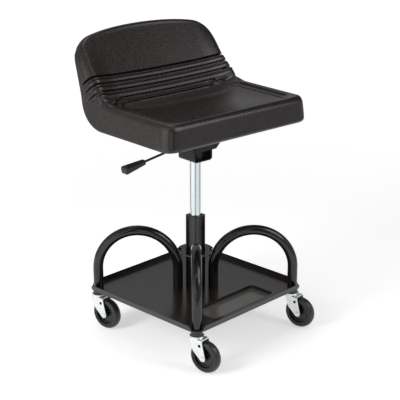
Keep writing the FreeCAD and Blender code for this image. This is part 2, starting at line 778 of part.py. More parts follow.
# Bent channel that carries the socket and the lever's ears, welded under the seat plate
def make_lift_bracket():
    body = new_body("lift_bracket")
    half, low, top = bracket_width / 2, bracket_bottom_z, plate_bottom_z
    bend, inner_bend = bracket_bend, bracket_bend - bracket_sheet
    inner, floor = half - bracket_sheet, low + bracket_sheet
    strip = new_sketch(body, "bracket_strip", "XZ_Plane")
    corners = (
        (-half, top), (-half, low + bend), (-half + bend, low), (half - bend, low),
        (half, low + bend), (half, top), (inner, top), (inner, low + bend),
        (half - bend, floor), (-half + bend, floor), (-inner, low + bend), (-inner, top),
    )
    arcs = {
        1: ((-half + bend, low + bend), 1), 3: ((half - bend, low + bend), 1),
        7: ((inner - inner_bend, floor + inner_bend), -1),
        9: ((-inner + inner_bend, floor + inner_bend), -1),
    }
    draw(strip, corners, arcs)
    pad(body, "bracket_channel", strip, bracket_depth, both=True)

    ear_start = arm_width / 2 + slack
    ear_low, ear_high = pivot_z - ear_height / 2, pivot_z + ear_height / 2
    for name, back in (("front_ear", False), ("rear_ear", True)):
        offset = -ear_start if back else ear_start
        ear = new_sketch(body, name + "_side", "XZ_Plane", offset)
        draw_rectangle(ear, (-inner, ear_low), (-inner + ear_depth, ear_high))
        pad(body, name, ear, bracket_sheet, back=back)

    hole = new_sketch(body, "cylinder_hole", "XY_Plane", floor + overrun)
    draw_circle(hole, cylinder_radius + weld_gap)
    pocket(body, "cylinder_hole_cut", hole, bracket_sheet + 2 * overrun)
    slot = new_sketch(body, "lever_slot", "YZ_Plane", -half - overrun)
    reach, rise = arm_width / 2 + slack, arm_height / 2 + arm_slot_margin
    draw_rectangle(slot, (-reach, pivot_z - rise), (reach, pivot_z + rise))
    pocket(body, "lever_slot_cut", slot, bracket_sheet + 2 * overrun, back=True)
    pin = new_sketch(body, "pivot_hole", "XZ_Plane")
    draw_circle(pin, pivot_pin_radius + weld_gap, -pivot_reach, pivot_z)
    pocket(body, "pivot_hole_cut", pin, bracket_depth, both=True)
    in_seat(body, "lift_bracket")


# Flanged plate that the seat is bolted to
def make_seat_plate():
    body = new_body("seat_plate")
    plan = new_sketch(body, "plate_plan", "XY_Plane", plate_bottom_z)
    draw_rectangle(plan, (-plate_half_width, -plate_half_depth), (plate_half_width, plate_half_depth))
    pad(body, "plate_sheet", plan, plate_thickness)
    skirt = new_sketch(body, "flange_side", "XZ_Plane", plate_half_depth - bracket_sheet)
    slant_z = flange_bottom_z + flange_slant_height
    corners = (
        (-plate_half_width, flange_bottom_z), (plate_half_width - flange_slant, flange_bottom_z),
        (plate_half_width, slant_z), (plate_half_width, plate_bottom_z + plate_thickness),
        (-plate_half_width + flange_slant, plate_bottom_z + plate_thickness),
        (-plate_half_width + flange_slant, slant_z),
    )
    draw(skirt, corners)
    pad(body, "front_flange", skirt, bracket_sheet)
    holes = new_sketch(body, "plate_holes", "XY_Plane", plate_bottom_z - overrun)
    for side in (-1, 1):
        for end in (-1, 1):
            draw_circle(holes, plate_bolt_radius + slack, plate_bolt_x * side, plate_bolt_y * end)
    pocket(body, "plate_holes_cut", holes, plate_thickness + 2 * overrun, back=True)
    in_seat(body, "seat_plate")

    bolts = []
    for side in (-1, 1):
        for end in (-1, 1):
            x, y = plate_bolt_x * side, plate_bolt_y * end
            name = f"plate_bolt_{side + 1}_{end + 1}"
            head = hexagon(name + "_head", plate_bolt_head_radius, x, y,
                           plate_bottom_z - plate_bolt_head_height, plate_bolt_head_height)
            shank = rod(name + "_shank", plate_bolt_radius, x, y,
                        plate_bottom_z - plate_bolt_head_height,
                        plate_bolt_head_height + plate_thickness + board_thickness - slack)
            bolts.append(fuse(name, [head, shank]))
    in_seat(group("plate_bolts_group", bolts), "plate_bolts")


# Board moulded into the seat's underside, which takes the bolts
def make_seat_board():
    body = new_body("seat_board")
    plan = new_sketch(body, "board_plan", "XY_Plane", board_bottom_z)
    draw_rounded(plan, board_half_width, board_half_depth, board_thickness)
    for side in (-1, 1):
        for end in (-1, 1):
            draw_circle(plan, plate_bolt_radius + fit_gap, plate_bolt_x * side, plate_bolt_y * end)
    pad(body, "board_block", plan, board_thickness)
    in_seat(body, "seat_board")


# Release lever: a flat inner arm on a pin, a drooping rod and a moulded paddle
def make_lever():
    half = bracket_width / 2
    start = -half - arm_outside
    arm = box("lever_arm", (start, -arm_width / 2, button_top_z + slack),
              (arm_tip, arm_width / 2, button_top_z + slack + arm_height))
    droop = 90 + lever_droop
    root_x = start + lever_rod_radius
    shaft = rod("lever_shaft", lever_rod_radius, root_x, ZERO, pivot_z, lever_rod_length,
                V(0, -1, 0), droop)
    blank = fuse("lever_blank", [arm, shaft])
    drill = rod("lever_pin_hole", pivot_pin_radius + fit_gap, -pivot_reach, arm_width, pivot_z,
                2 * arm_width, V(1, 0, 0), as_size(90))
    in_seat(cut("lever_drilled", blank, drill), "lever_rod")

    spread = arm_width / 2 + slack + bracket_sheet
    head_y = spread + pivot_head_height
    shank = rod("pivot_shank", pivot_pin_radius, -pivot_reach, head_y, pivot_z, 2 * head_y,
                V(1, 0, 0), as_size(90))
    heads = []
    for name, y in (("front", -spread), ("rear", head_y)):
        heads.append(rod(f"pivot_head_{name}", pivot_head_radius, -pivot_reach, y, pivot_z,
                         pivot_head_height, V(1, 0, 0), as_size(90)))
    in_seat(fuse("pivot_pin_turned", [shank] + heads), "lever_pivot_pin")

    body = new_body("lever_grip")
    ends = []
    for name, place_x, width, depth in (
            ("grip_root", ZERO, grip_root_width, grip_root_depth),
            ("grip_tip", -grip_length, grip_tip_width, grip_tip_depth)):
        ends.append(new_sketch(body, name, "YZ_Plane", place_x))
        draw_rounded(ends[-1], width / 2, depth / 2, grip_corner_radius)
    block = body.newObject("PartDesign::AdditiveLoft", "grip_block")
    block.Profile = ends[0]
    block.Sections = [ends[1]]
    block.Ruled = True
    doc.recompute()
    rims = []
    for number, edge in enumerate(block.Shape.Edges, 1):
        if edge.BoundBox.XLength < float(fit_gap):
            rims.append(f"Edge{number}")
    soften = body.newObject("PartDesign::Fillet", "grip_soft_ends")
    soften.Base = (block, rims)
    bind(soften, "Radius", grip_end_radius)
    thumb = new_sketch(body, "grip_recess", "XY_Plane", grip_tip_depth)
    draw_rounded(thumb, (grip_length - 2 * grip_recess_end) / 2, grip_recess_width / 2,
                 grip_recess_width / 4, -grip_length / 2, ZERO)
    mean_half = (grip_root_depth + grip_tip_depth) / 4
    pocket(body, "grip_recess_cut", thumb, grip_tip_depth - mean_half + grip_recess_depth)
    bore = new_sketch(body, "grip_bore", "YZ_Plane", overrun)
    draw_circle(bore, lever_rod_radius + weld_gap)
    sunk = lever_rod_length - grip_start
    pocket(body, "grip_bore_cut", bore, sunk + overrun + slack)
    along = float(grip_start)
    tilt = math.radians(float(lever_droop))
    down = FreeCAD.Rotation(V(0, -1, 0), float(lever_droop))
    spot = V(float(root_x) - along * math.cos(tilt), 0, float(pivot_z) - along * math.sin(tilt))
    body.Placement = FreeCAD.Placement(spot, down)
    in_seat(body, "lever_grip")


# Caster: stem and fixed raceway, balls, stamped fork, riveted axle, sleeve and wheel
def in_corner(obj, name, side, end):
    """Moves a caster's piece from the origin to its corner, turned as the caster trails."""
    place(obj, stem_offset * side, stem_offset * end, ZERO, UP, caster_yaw)
    keep(obj, name)


def make_caster_stem(corner, side, end):
    name = "caster_stem_" + corner
    body = new_body(name)
    head_z = fork_top_z - fork_sheet - slack - kingpin_head_height
    outline = (
        (ZERO, head_z), (kingpin_head_radius, head_z),
        (kingpin_head_radius, head_z + kingpin_head_height),
        (stem_radius, head_z + kingpin_head_height), (stem_radius, cap_bottom_z),
        (cap_radius, cap_bottom_z), (cap_radius, cap_top_z), (stem_radius, cap_top_z),
        (stem_radius, tray_floor_z + plug_length), (ZERO, tray_floor_z + plug_length),
    )
    spin(body, name + "_turned", outline)
    in_corner(body, name, side, end)


def make_caster_balls(corner, side, end):
    name = "caster_balls_" + corner
    balls = ring_of_balls(name, 16, caster_ball_radius - fit_gap, caster_ball_reach,
                          fork_top_z + caster_ball_radius)
    in_corner(balls, name, side, end)


def touching(point, centre, radius, turn):
    """Where a line from a point touches a circle; turn picks one of its two sides."""
    across, up = point[0] - centre[0], point[1] - centre[1]
    reach = across * across + up * up
    run = root(reach - radius * radius) * turn
    return (
        centre[0] + radius * (radius * across - run * up) / reach,
        centre[1] + radius * (radius * up + run * across) / reach,
    )


def make_fork(corner, side, end):
    name = "caster_fork_" + corner
    body = new_body(name)
    width = 2 * fork_outer_half
    under = fork_top_z - fork_sheet
    leg = new_sketch(body, name + "_leg", "YZ_Plane")
    foot = (-wheel_trail, wheel_radius)
    waist = (fork_waist_reach, fork_waist_z)
    crown = (-fork_tail, fork_top_z)
    corners = (
        crown, touching(crown, foot, fork_foot_radius, 1), touching(waist, foot, fork_foot_radius, -1),
        waist, (fork_nose, under), (fork_nose, fork_top_z),
    )
    draw(leg, corners, {1: (foot, 1)})
    pad(body, name + "_block", leg, width, both=True)
    doc.recompute()
    block = body.Tip
    sides = []
    for number, edge in enumerate(block.Shape.Edges, 1):
        frame = edge.BoundBox
        if frame.ZMin > float(under) + float(fork_sheet) / 2 and frame.XLength < float(fit_gap):
            sides.append(f"Edge{number}")
    soften = body.newObject("PartDesign::Fillet", name + "_bends")
    soften.Base = (block, sides)
    bind(soften, "Radius", fork_bend)
    gap = new_sketch(body, name + "_gap", "XZ_Plane")
    half, bend = fork_gap / 2, fork_bend - fork_sheet
    arch = (
        (-half, -overrun), (half, -overrun), (half, under - bend), (half - bend, under),
        (-half + bend, under), (-half, under - bend),
    )
    draw(gap, arch, {2: ((half - bend, under - bend), 1), 4: ((-half + bend, under - bend), 1)})
    pocket(body, name + "_gap_cut", gap, 4 * wheel_radius, both=True)
    disc = new_sketch(body, name + "_disc", "XY_Plane", under)
    draw_circle(disc, raceway_radius)
    pad(body, name + "_raceway_floor", disc, fork_sheet)
    rim = new_sketch(body, name + "_rim", "XY_Plane", fork_top_z)
    draw_circle(rim, raceway_radius)
    draw_circle(rim, raceway_radius - raceway_wall)
    pad(body, name + "_raceway_rim", rim, raceway_height)
    bore = new_sketch(body, name + "_bore", "XY_Plane", fork_top_z + overrun)
    draw_circle(bore, stem_radius + fit_gap)
    pocket(body, name + "_bore_cut", bore, fork_sheet + 2 * overrun)
    holes = new_sketch(body, name + "_axle_hole", "YZ_Plane")
    draw_circle(holes, axle_radius + weld_gap, *foot)
    draw_circle(holes, leg_hole_radius, -leg_hole_setback, leg_hole_z)
    pocket(body, name + "_holes_cut", holes, width + overrun, both=True)
    in_corner(body, name, side, end)


def make_axle(corner, side, end):
    name = "caster_axle_" + corner
    body = new_body(name)
    inside, outside = fork_outer_half, fork_outer_half + axle_head_height
    sketch = new_sketch(body, name + "_outline", "XY_Plane")
    outline = (
        (-outside, ZERO), (-outside, axle_radius), (-inside, axle_head_radius),
        (-inside, axle_radius), (inside, axle_radius), (inside, axle_head_radius),
        (outside, axle_radius), (outside, ZERO),
    )
    draw(sketch, outline)
    turned = body.newObject("PartDesign::Revolution", name + "_turned")
    turned.Profile = sketch
    turned.ReferenceAxis = (sketch, ["H_Axis"])
    turned.Angle = 360
    on_axle(body, name, side, end)

    label = "axle_sleeve_" + corner
    sleeve = new_body(label)
    ring = new_sketch(sleeve, label + "_ring", "YZ_Plane")
    draw_circle(ring, axle_radius + sleeve_wall)
    draw_circle(ring, axle_radius + fit_gap)
    pad(sleeve, label + "_tube", ring, fork_gap - 2 * weld_gap, both=True)
    on_axle(sleeve, label, side, end)


def on_axle(body, name, side, end):
    """Puts a piece that was made about the X axis on its caster's axle."""
    body.Label = name + "_straight"
    spot = group(name + "_at_axle", [body])
    place(spot, ZERO, -wheel_trail, wheel_radius)
    holder = group(name + "_at_corner", [spot])
    in_corner(holder, name, side, end)


def make_wheel(corner, side, end):
    name = "wheel_core_" + corner
    body = new_body(name)
    bore = axle_radius + sleeve_wall + fit_gap
    rim_top = wheel_radius - tyre_depth
    rim_low = rim_top - rim_depth
    hub, web, rim = hub_width / 2, web_width / 2, rim_width / 2
    ridge, ridge_top = web + ridge_height, ridge_radius + ridge_width
    outline = (
        (-hub, bore), (hub, bore), (hub, hub_radius), (web, hub_radius), (web, ridge_radius),
        (ridge, ridge_radius), (ridge, ridge_top), (web, ridge_top), (web, rim_low),
        (rim, rim_low), (rim, rim_top), (-rim, rim_top), (-rim, rim_low), (-web, rim_low),
        (-web, ridge_top), (-ridge, ridge_top), (-ridge, ridge_radius), (-web, ridge_radius),
        (-web, hub_radius), (-hub, hub_radius),
    )
    sketch = new_sketch(body, name + "_outline", "XY_Plane")
    draw(sketch, outline)
    turned = body.newObject("PartDesign::Revolution", name + "_turned")
    turned.Profile = sketch
    turned.ReferenceAxis = (sketch, ["H_Axis"])
    turned.Angle = 360
    on_axle(body, name, side, end)

    label = "tyre_" + corner
    tyre = new_body(label)
    side_x, edge = tyre_width / 2, wheel_radius - tread_crown
    low = edge - tyre_shoulder
    tread = side_x - tyre_shoulder
    crown_radius = (tread * tread + tread_crown * tread_crown) / (2 * tread_crown)
    outline = (
        (-side_x, rim_top), (side_x, rim_top), (side_x, low), (tread, edge), (-tread, edge),
        (-side_x, low),
    )
    arcs = {
        2: ((tread, low), 1), 3: ((ZERO, wheel_radius - crown_radius), 1),
        4: ((-tread, low), 1),
    }
    sketch = new_sketch(tyre, label + "_outline", "XY_Plane")
    draw(sketch, outline, arcs)
    turned = tyre.newObject("PartDesign::Revolution", label + "_turned")
    turned.Profile = sketch
    turned.ReferenceAxis = (sketch, ["H_Axis"])
    turned.Angle = 360
    on_axle(tyre, label, side, end)


# Moulded seat: side profiles from one side to the other, joined by a loft
SECTION_SHARES = (0, 0.25, 0.45, 0.62, 0.74, 0.83, 0.9, 0.95, 0.985, 1.0)
ROUND_END_SHARE = 0.94
CREST_ROUND_SHARE = 0.8
WING_ROUND_SHARE = 0.2


def round_off(distance, radius):
    """How far a rounded end has drawn in, a distance short of the seat's side."""
    reach = min(1.0, max(0.0, 1 - distance / radius)) * ROUND_END_SHARE
    return radius * (1 - math.sqrt(1 - reach * reach))


def arc(first, middle, last):
    return Part.Arc(first, middle, last).toShape()


def line(first, last):
    return Part.LineSegment(first, last).toShape()


def pan_dip(x):
    """How far the sitting surface lies below its rim."""
    inner = float(seat_width) / 2 - float(pan_rim_width)
    return float(pan_dish) * max(0.0, 1 - (abs(x) / inner) ** 4) + float(slack)


def seat_section(share):
    """The seat's outline in a plane across X, as a closed wire of 13 edges."""
    half = float(seat_width) / 2
    x = share * half
    distance = half - abs(x)
    pull = round_off(distance, float(side_round))
    front = -float(seat_front) + round_off(distance, float(corner_round))
    bottom = float(seat_bottom_z) + pull / 2
    rim = float(seat_rim_z) - pull
    dish = pan_dip(x)
    bulge = float(rear_bulge) * (1 - share * share) - pull
    sweep = float(wing_sweep) * share * share
    lean = math.radians(float(face_lean))
    wing = round_off(distance, float(wing_round)) - pull

    def at(y, z):
        return V(x, y, z)

    def drawn_in(y, z, inward):
        return at(y - sweep + inward * math.cos(lean), z - inward * math.sin(lean))

    def face(z):
        climb = (z - float(face_low_z)) / (3 * float(bead_pitch))
        y = float(face_low_y) + (z - float(face_low_z)) * math.tan(lean)
        return drawn_in(y, z, pull + wing * min(1.0, climb))

    def rear(z):
        rise = z - float(rear_low_z)
        return at(float(rear_low_y) + rise * math.tan(math.radians(float(rear_lean))) + bulge, z)

    crest = float(back_top_z) - float(back_crown) * share * share
    crest = crest - round_off(distance, float(back_corner_round))
    below = crest - float(crest_drop)
    toe, shoulder = float(toe_radius), float(shoulder_radius)
    bend = 1 - math.sqrt(0.5)
    start = at(front + toe, bottom)
    heel = at(float(heel_y), bottom)
    heel_mid = at(float(heel_mid_y) + bulge * math.sqrt(0.5), float(heel_mid_z) + pull)
    low_rear = rear(float(rear_low_z))
    high_rear = rear(below)
    high_face = face(below - float(wing_droop) * share ** 4)
    across = (high_rear - high_face) / 2
    rounding = CREST_ROUND_SHARE + (WING_ROUND_SHARE - CREST_ROUND_SHARE) * share ** 4
    top = high_face + across + V(0, -across.z, across.y) * rounding
    edges = [line(start, heel), arc(heel, heel_mid, low_rear), line(low_rear, high_rear),
             arc(high_rear, top, high_face)]
    levels = [float(face_low_z) + float(bead_pitch) * number for number in (3, 2, 1, 0)]
    edges.append(line(high_face, face(levels[0])))
    out = V(0, -math.cos(lean), math.sin(lean)) * float(bead_height)
    for upper, lower in zip(levels, levels[1:]):
        first, last = face(upper), face(lower)
        edges.append(arc(first, (first + last) / 2 + out, last))
    first = face(levels[-1])
    crease = drawn_in(float(crease_y), float(crease_z) - dish, pull)
    edges.append(arc(first, (first + crease) / 2 + out / 2, crease))
    edge = at(front + shoulder, rim)
    middle = (crease + edge) / 2 - V(0, 0, dish)
    edges.append(arc(crease, middle, edge))
    brow = at(front, rim - shoulder)
    edges.append(arc(edge, at(front + shoulder * bend, rim - shoulder * bend), brow))
    chin = at(front + float(front_draft), bottom + toe)
    edges.append(line(brow, chin))
    turn = at(front + float(front_draft) + (toe - float(front_draft)) * bend, bottom + toe * bend)
    edges.append(arc(chin, turn, start))
    return Part.Wire(edges)


def seat_channel(x):
    """The groove along one side of the pan, from its front end to the crease."""
    radius = float(channel_radius)
    dip = pan_dip(x)
    front_y, back_y = -float(channel_front), float(crease_y) - float(wing_sweep)
    low = V(x, (front_y + back_y) / 2, (float(crease_z) + float(seat_rim_z)) / 2 - 2 * dip)
    start = V(x, front_y, float(seat_rim_z) - dip)
    bend = Part.Arc(start, low, V(x, back_y, float(crease_z) - dip))
    ring = Part.Circle(start, bend.tangent(bend.FirstParameter)[0], radius)
    return Part.Wire(bend.toShape()).makePipeShell([Part.Wire(ring.toShape())], True, True)


def make_seat():
    shares = [-share for share in reversed(SECTION_SHARES[1:])] + list(SECTION_SHARES)
    form = Part.makeLoft([seat_section(share) for share in shares], True, False)
    for side in (-1, 1):
        for number in (0, 1):
            inset = float(channel_inset) + float(channel_pitch) * number
            form = form.cut(seat_channel(side * (float(seat_width) / 2 - inset)))
    margin = float(slack)
    low = V(-float(board_half_width) - margin, -float(board_half_depth) - margin,
            float(seat_bottom_z) - float(overrun))
    room = Part.makeBox(2 * (float(board_half_width) + margin), 2 * (float(board_half_depth) + margin),
                        float(board_bottom_z + board_thickness) + margin - low.z, low)
    form = form.cut(room)
    seat = doc.addObject("Part::Feature", "seat_moulding")
    seat.Shape = form
    in_seat(seat, "seat_foam")


make_tray()
for corner, side, end, turn in CORNERS:
    make_hoop(corner, turn)
make_column()
make_guide_bush()
make_leg_fixings()
make_thrust_bearing()
make_piston_rod()
make_gas_cylinder()
make_lift_bracket()
make_seat_plate()
make_seat_board()
make_lever()
make_seat()
for corner, side, end, turn in CORNERS:
    make_caster_stem(corner, side, end)
    make_caster_balls(corner, side, end)
    make_fork(corner, side, end)
    make_axle(corner, side, end)
    make_wheel(corner, side, end)
doc.recompute()

faults = []
for item in doc.Objects:
    if "Invalid" in item.State or "Error" in item.State:
        faults.append(f"{item.Name} did not build: {item.State}")
    if item.TypeId == "PartDesign::Pocket":
        if item.Shape.Volume >= item.BaseFeature.Shape.Volume:
            faults.append(f"{item.Name} cuts nothing")
for item in subparts:
    if item.Shape.isNull() or not item.Shape.isValid() or not item.Shape.Solids:
        faults.append(f"{item.Label} has no sound solid")
if faults:
    raise RuntimeError("; ".join(faults))
for item in subparts:
    item.Shape.exportStep(f"parts/{item.Label}.step")
print(len(subparts), "sub-parts written")
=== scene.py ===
import json
import math

import bpy
import numpy as np
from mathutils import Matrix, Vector


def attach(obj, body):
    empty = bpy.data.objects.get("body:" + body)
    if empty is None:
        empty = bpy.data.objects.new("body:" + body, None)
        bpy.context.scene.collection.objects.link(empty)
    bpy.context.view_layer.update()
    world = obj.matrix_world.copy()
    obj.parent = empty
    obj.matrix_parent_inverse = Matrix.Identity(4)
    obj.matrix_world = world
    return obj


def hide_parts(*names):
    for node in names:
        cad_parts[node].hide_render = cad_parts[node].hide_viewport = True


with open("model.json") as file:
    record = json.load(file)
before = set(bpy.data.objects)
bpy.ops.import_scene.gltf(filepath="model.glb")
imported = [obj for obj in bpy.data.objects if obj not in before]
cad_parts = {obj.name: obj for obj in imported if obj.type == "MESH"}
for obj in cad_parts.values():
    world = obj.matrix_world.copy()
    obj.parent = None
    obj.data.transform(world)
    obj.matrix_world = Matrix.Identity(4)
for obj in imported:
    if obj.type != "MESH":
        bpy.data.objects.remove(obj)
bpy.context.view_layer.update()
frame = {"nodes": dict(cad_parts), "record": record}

# Looks of the rolling seat. Metres, +Z up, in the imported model's own frame.
# The sitter faces -Y, so the release lever is at -X.

MM = 0.001
DIAGONAL = math.sqrt(0.5)

# The seat and everything bolted to it stand a little askew over the tray
SEAT_YAW = math.radians(-4.2)


def add_object(name, data):
    """An object for this mesh, lamp or camera, in the scene."""
    thing = bpy.data.objects.new(name, data)
    bpy.context.scene.collection.objects.link(thing)
    return thing


def aim(thing, direction):
    """Turns a camera or lamp, which look along their own -Z, to look this way."""
    thing.rotation_euler = direction.to_track_quat("-Z", "Y").to_euler()


# Camera, at the photograph's angle

CAMERA_PLACE = Vector((-1.8772, -1.8330, 1.2443))
CAMERA_HEADING = math.radians(44.07)
CAMERA_DIP = math.radians(19.05)
CAMERA_LENS_MM = 100.52
CAMERA_SENSOR_MM = 36
CAMERA_SIGHT = 50


def make_camera():
    data = bpy.data.cameras.new("camera")
    data.sensor_width = CAMERA_SENSOR_MM
    data.lens = CAMERA_LENS_MM
    data.clip_end = CAMERA_SIGHT
    camera = add_object("camera", data)
    level = math.cos(CAMERA_DIP)
    ahead = Vector((level * math.cos(CAMERA_HEADING), level * math.sin(CAMERA_HEADING),
                    -math.sin(CAMERA_DIP)))
    camera.location = CAMERA_PLACE
    aim(camera, ahead)
    bpy.context.scene.camera = camera


# Studio: a white room, three soft lamps and a pale floor

LAMPS = (
    # name, place, width, height, watts
    ("lamp_left", (-2.3, 0.2, 1.3), 0.8, 1.6, 34),
    ("lamp_right", (0.7, -2.3, 1.3), 0.6, 1.6, 12),
    ("lamp_top", (0.2, 0.4, 2.6), 1.4, 1.4, 8),
)
LAMP_AIM = Vector((0, 0, 0.45))
ROOM_LIGHT = 0.38


def make_lamps():
    for name, place, width, height, watts in LAMPS:
        data = bpy.data.lights.new(name, "AREA")
        data.shape = "RECTANGLE"
        data.size = width
        data.size_y = height
        data.energy = watts
        lamp = add_object(name, data)
        lamp.location = place
        aim(lamp, LAMP_AIM - lamp.location)


def math_node(tree, operation, first, second):
    """The result of a sum on two of the tree's values."""
    node = tree.nodes.new("ShaderNodeMath")
    node.operation = operation
    tree.links.new(first, node.inputs[0])
    tree.links.new(second, node.inputs[1])
    return node.outputs[0]


def seen_directly(tree):
    """1 for rays from the camera, from gloss or through glass, and 0 for the rest."""
    rays = tree.nodes.new("ShaderNodeLightPath").outputs
    seen = math_node(tree, "MAXIMUM", rays["Is Camera Ray"], rays["Is Glossy Ray"])
    return math_node(tree, "MAXIMUM", seen, rays["Is Transmission Ray"])


def make_world():
    world = bpy.data.worlds.new("studio")
    bpy.context.scene.world = world
    world.use_nodes = True
    tree = world.node_tree
    tree.nodes.clear()
    output = tree.nodes.new("ShaderNodeOutputWorld")
    room = tree.nodes.new("ShaderNodeBackground")
    room.inputs["Strength"].default_value = ROOM_LIGHT
    white = tree.nodes.new("ShaderNodeBackground")
    white.inputs["Color"].default_value = (1, 1, 1, 1)
    mix = tree.nodes.new("ShaderNodeMixShader")
    tree.links.new(seen_directly(tree), mix.inputs[0])
    tree.links.new(room.outputs[0], mix.inputs[1])
    tree.links.new(white.outputs[0], mix.inputs[2])
    tree.links.new(mix.outputs[0], output.inputs[0])


# Grey flags and bright panels round the object, which only its reflections see. They stand on
# circles about the column, give the chrome its dark bands and keep the black paint black.
FLAGS = (
    # name, azimuth and half its spread in degrees, radius at the foot and top, foot, top, tone
    ("flag_behind_low", 44, 62, 1.75, 1.75, 0.03, 0.95, 0.31),
    ("flag_behind_high", 68, 38, 1.75, 1.75, 0.95, 2.3, 0.48),
    ("flag_left_low", 128, 23, 1.75, 1.75, 0.03, 0.95, 0.64),
    ("flag_left_high", 150, 44, 1.75, 1.75, 0.95, 2.3, 0.40),
    ("flag_corner", 178, 27, 1.75, 1.75, 0.03, 0.95, 1.15),
    ("flag_camera", 229, 25, 1.75, 1.75, 0.03, 2.3, 0.14),
    ("panel_camera", 224, 7, 1.6, 1.6, 0.30, 0.85, 1.5),
    ("flag_right_low", 304, 50, 1.75, 1.75, 0.03, 0.95, 0.46),
    ("panel_right", 290, 24, 1.7, 1.7, 1.2, 2.9, 2.8),
    ("flag_far_right", 352, 38, 1.75, 1.75, 0.95, 2.3, 0.10),
    ("roof_right", 340, 30, 1.75, 0.05, 2.3, 3.3, 0.08),
    ("roof_front", 250, 60, 1.75, 0.05, 2.95, 3.3, 0.40),
    ("roof_left", 100, 90, 1.75, 0.05, 2.3, 3.3, 0.20),
    ("band_left", 97, 15, 0.9, 0.9, 0.005, 0.33, 0.34),
    ("band_middle", 224, 12, 0.9, 0.9, 0.005, 0.33, 0.50),
    ("band_right", 322, 17, 0.9, 0.9, 0.005, 0.33, 0.55),
)
FLAG_STEPS = 24


def flag_tone(name, tone):
    """A material that shines evenly in one grey."""
    cloth = bpy.data.materials.new(name)
    cloth.use_nodes = True
    tree = cloth.node_tree
    tree.nodes.clear()
    output = tree.nodes.new("ShaderNodeOutputMaterial")
    shine = tree.nodes.new("ShaderNodeEmission")
    shine.inputs["Color"].default_value = (tone, tone, tone, 1)
    tree.links.new(shine.outputs[0], output.inputs["Surface"])
    return cloth


def make_flags():
    for name, azimuth, half, foot_radius, top_radius, foot, top, tone in FLAGS:
        turns = np.radians(np.linspace(azimuth - half, azimuth + half, FLAG_STEPS + 1))
        verts = []
        for turn in turns:
            for radius, level in ((foot_radius, foot), (top_radius, top)):
                verts.append((radius * math.cos(turn), radius * math.sin(turn), level))
        faces = [(2 * step, 2 * step + 2, 2 * step + 3, 2 * step + 1) for step in range(FLAG_STEPS)]
        mesh = bpy.data.meshes.new(name)
        mesh.from_pydata(verts, [], faces)
        mesh.materials.append(flag_tone(name, tone))
        flag = add_object(name, mesh)
        flag.visible_camera = False
        flag.visible_diffuse = False
        flag.visible_shadow = False
        flag.visible_transmission = False
        flag.visible_volume_scatter = False


# The floor, whose own light grows from GLOW_START to GLOW_END metres away from the column
FLOOR_HALF = 6.0
FLOOR_COLOR = (0.86, 0.86, 0.87)
FLOOR_ROUGHNESS = 0.9
FLOOR_SPECULAR = 0.1
NEAR_GLOW = 0.51
FAR_GLOW = 0.78
GLOW_START = 1.0
GLOW_END = 3.2


def make_floor():
    mesh = bpy.data.meshes.new("floor")
    half = FLOOR_HALF
    corners = [(-half, -half, 0), (half, -half, 0), (half, half, 0), (-half, half, 0)]
    mesh.from_pydata(corners, [], [(0, 1, 2, 3)])
    floor = add_object("floor", mesh)
    paint = Paint("floor_white", FLOOR_COLOR, FLOOR_ROUGHNESS, specular=FLOOR_SPECULAR)
    paint.set("Emission Color", (1, 1, 1, 1))
    reach = paint.node("ShaderNodeVectorMath", operation="LENGTH")
    paint.link(paint.place, reach.inputs[0])
    glow = paint.spread(reach.outputs["Value"], GLOW_START, GLOW_END, NEAR_GLOW, FAR_GLOW)
    strength = math_node(paint.tree, "MULTIPLY", seen_directly(paint.tree), glow)
    paint.link(strength, paint.shader.inputs["Emission Strength"])
    mesh.materials.append(paint.material)


# Materials. Every one is worked out from noise and grain in the object's own space, and the
# sizes and depths in it are metres.

NOISE_LOW = 0.3
NOISE_HIGH = 0.7
LEVEL_BLEND = 0.001
BEVEL_SAMPLES = 6


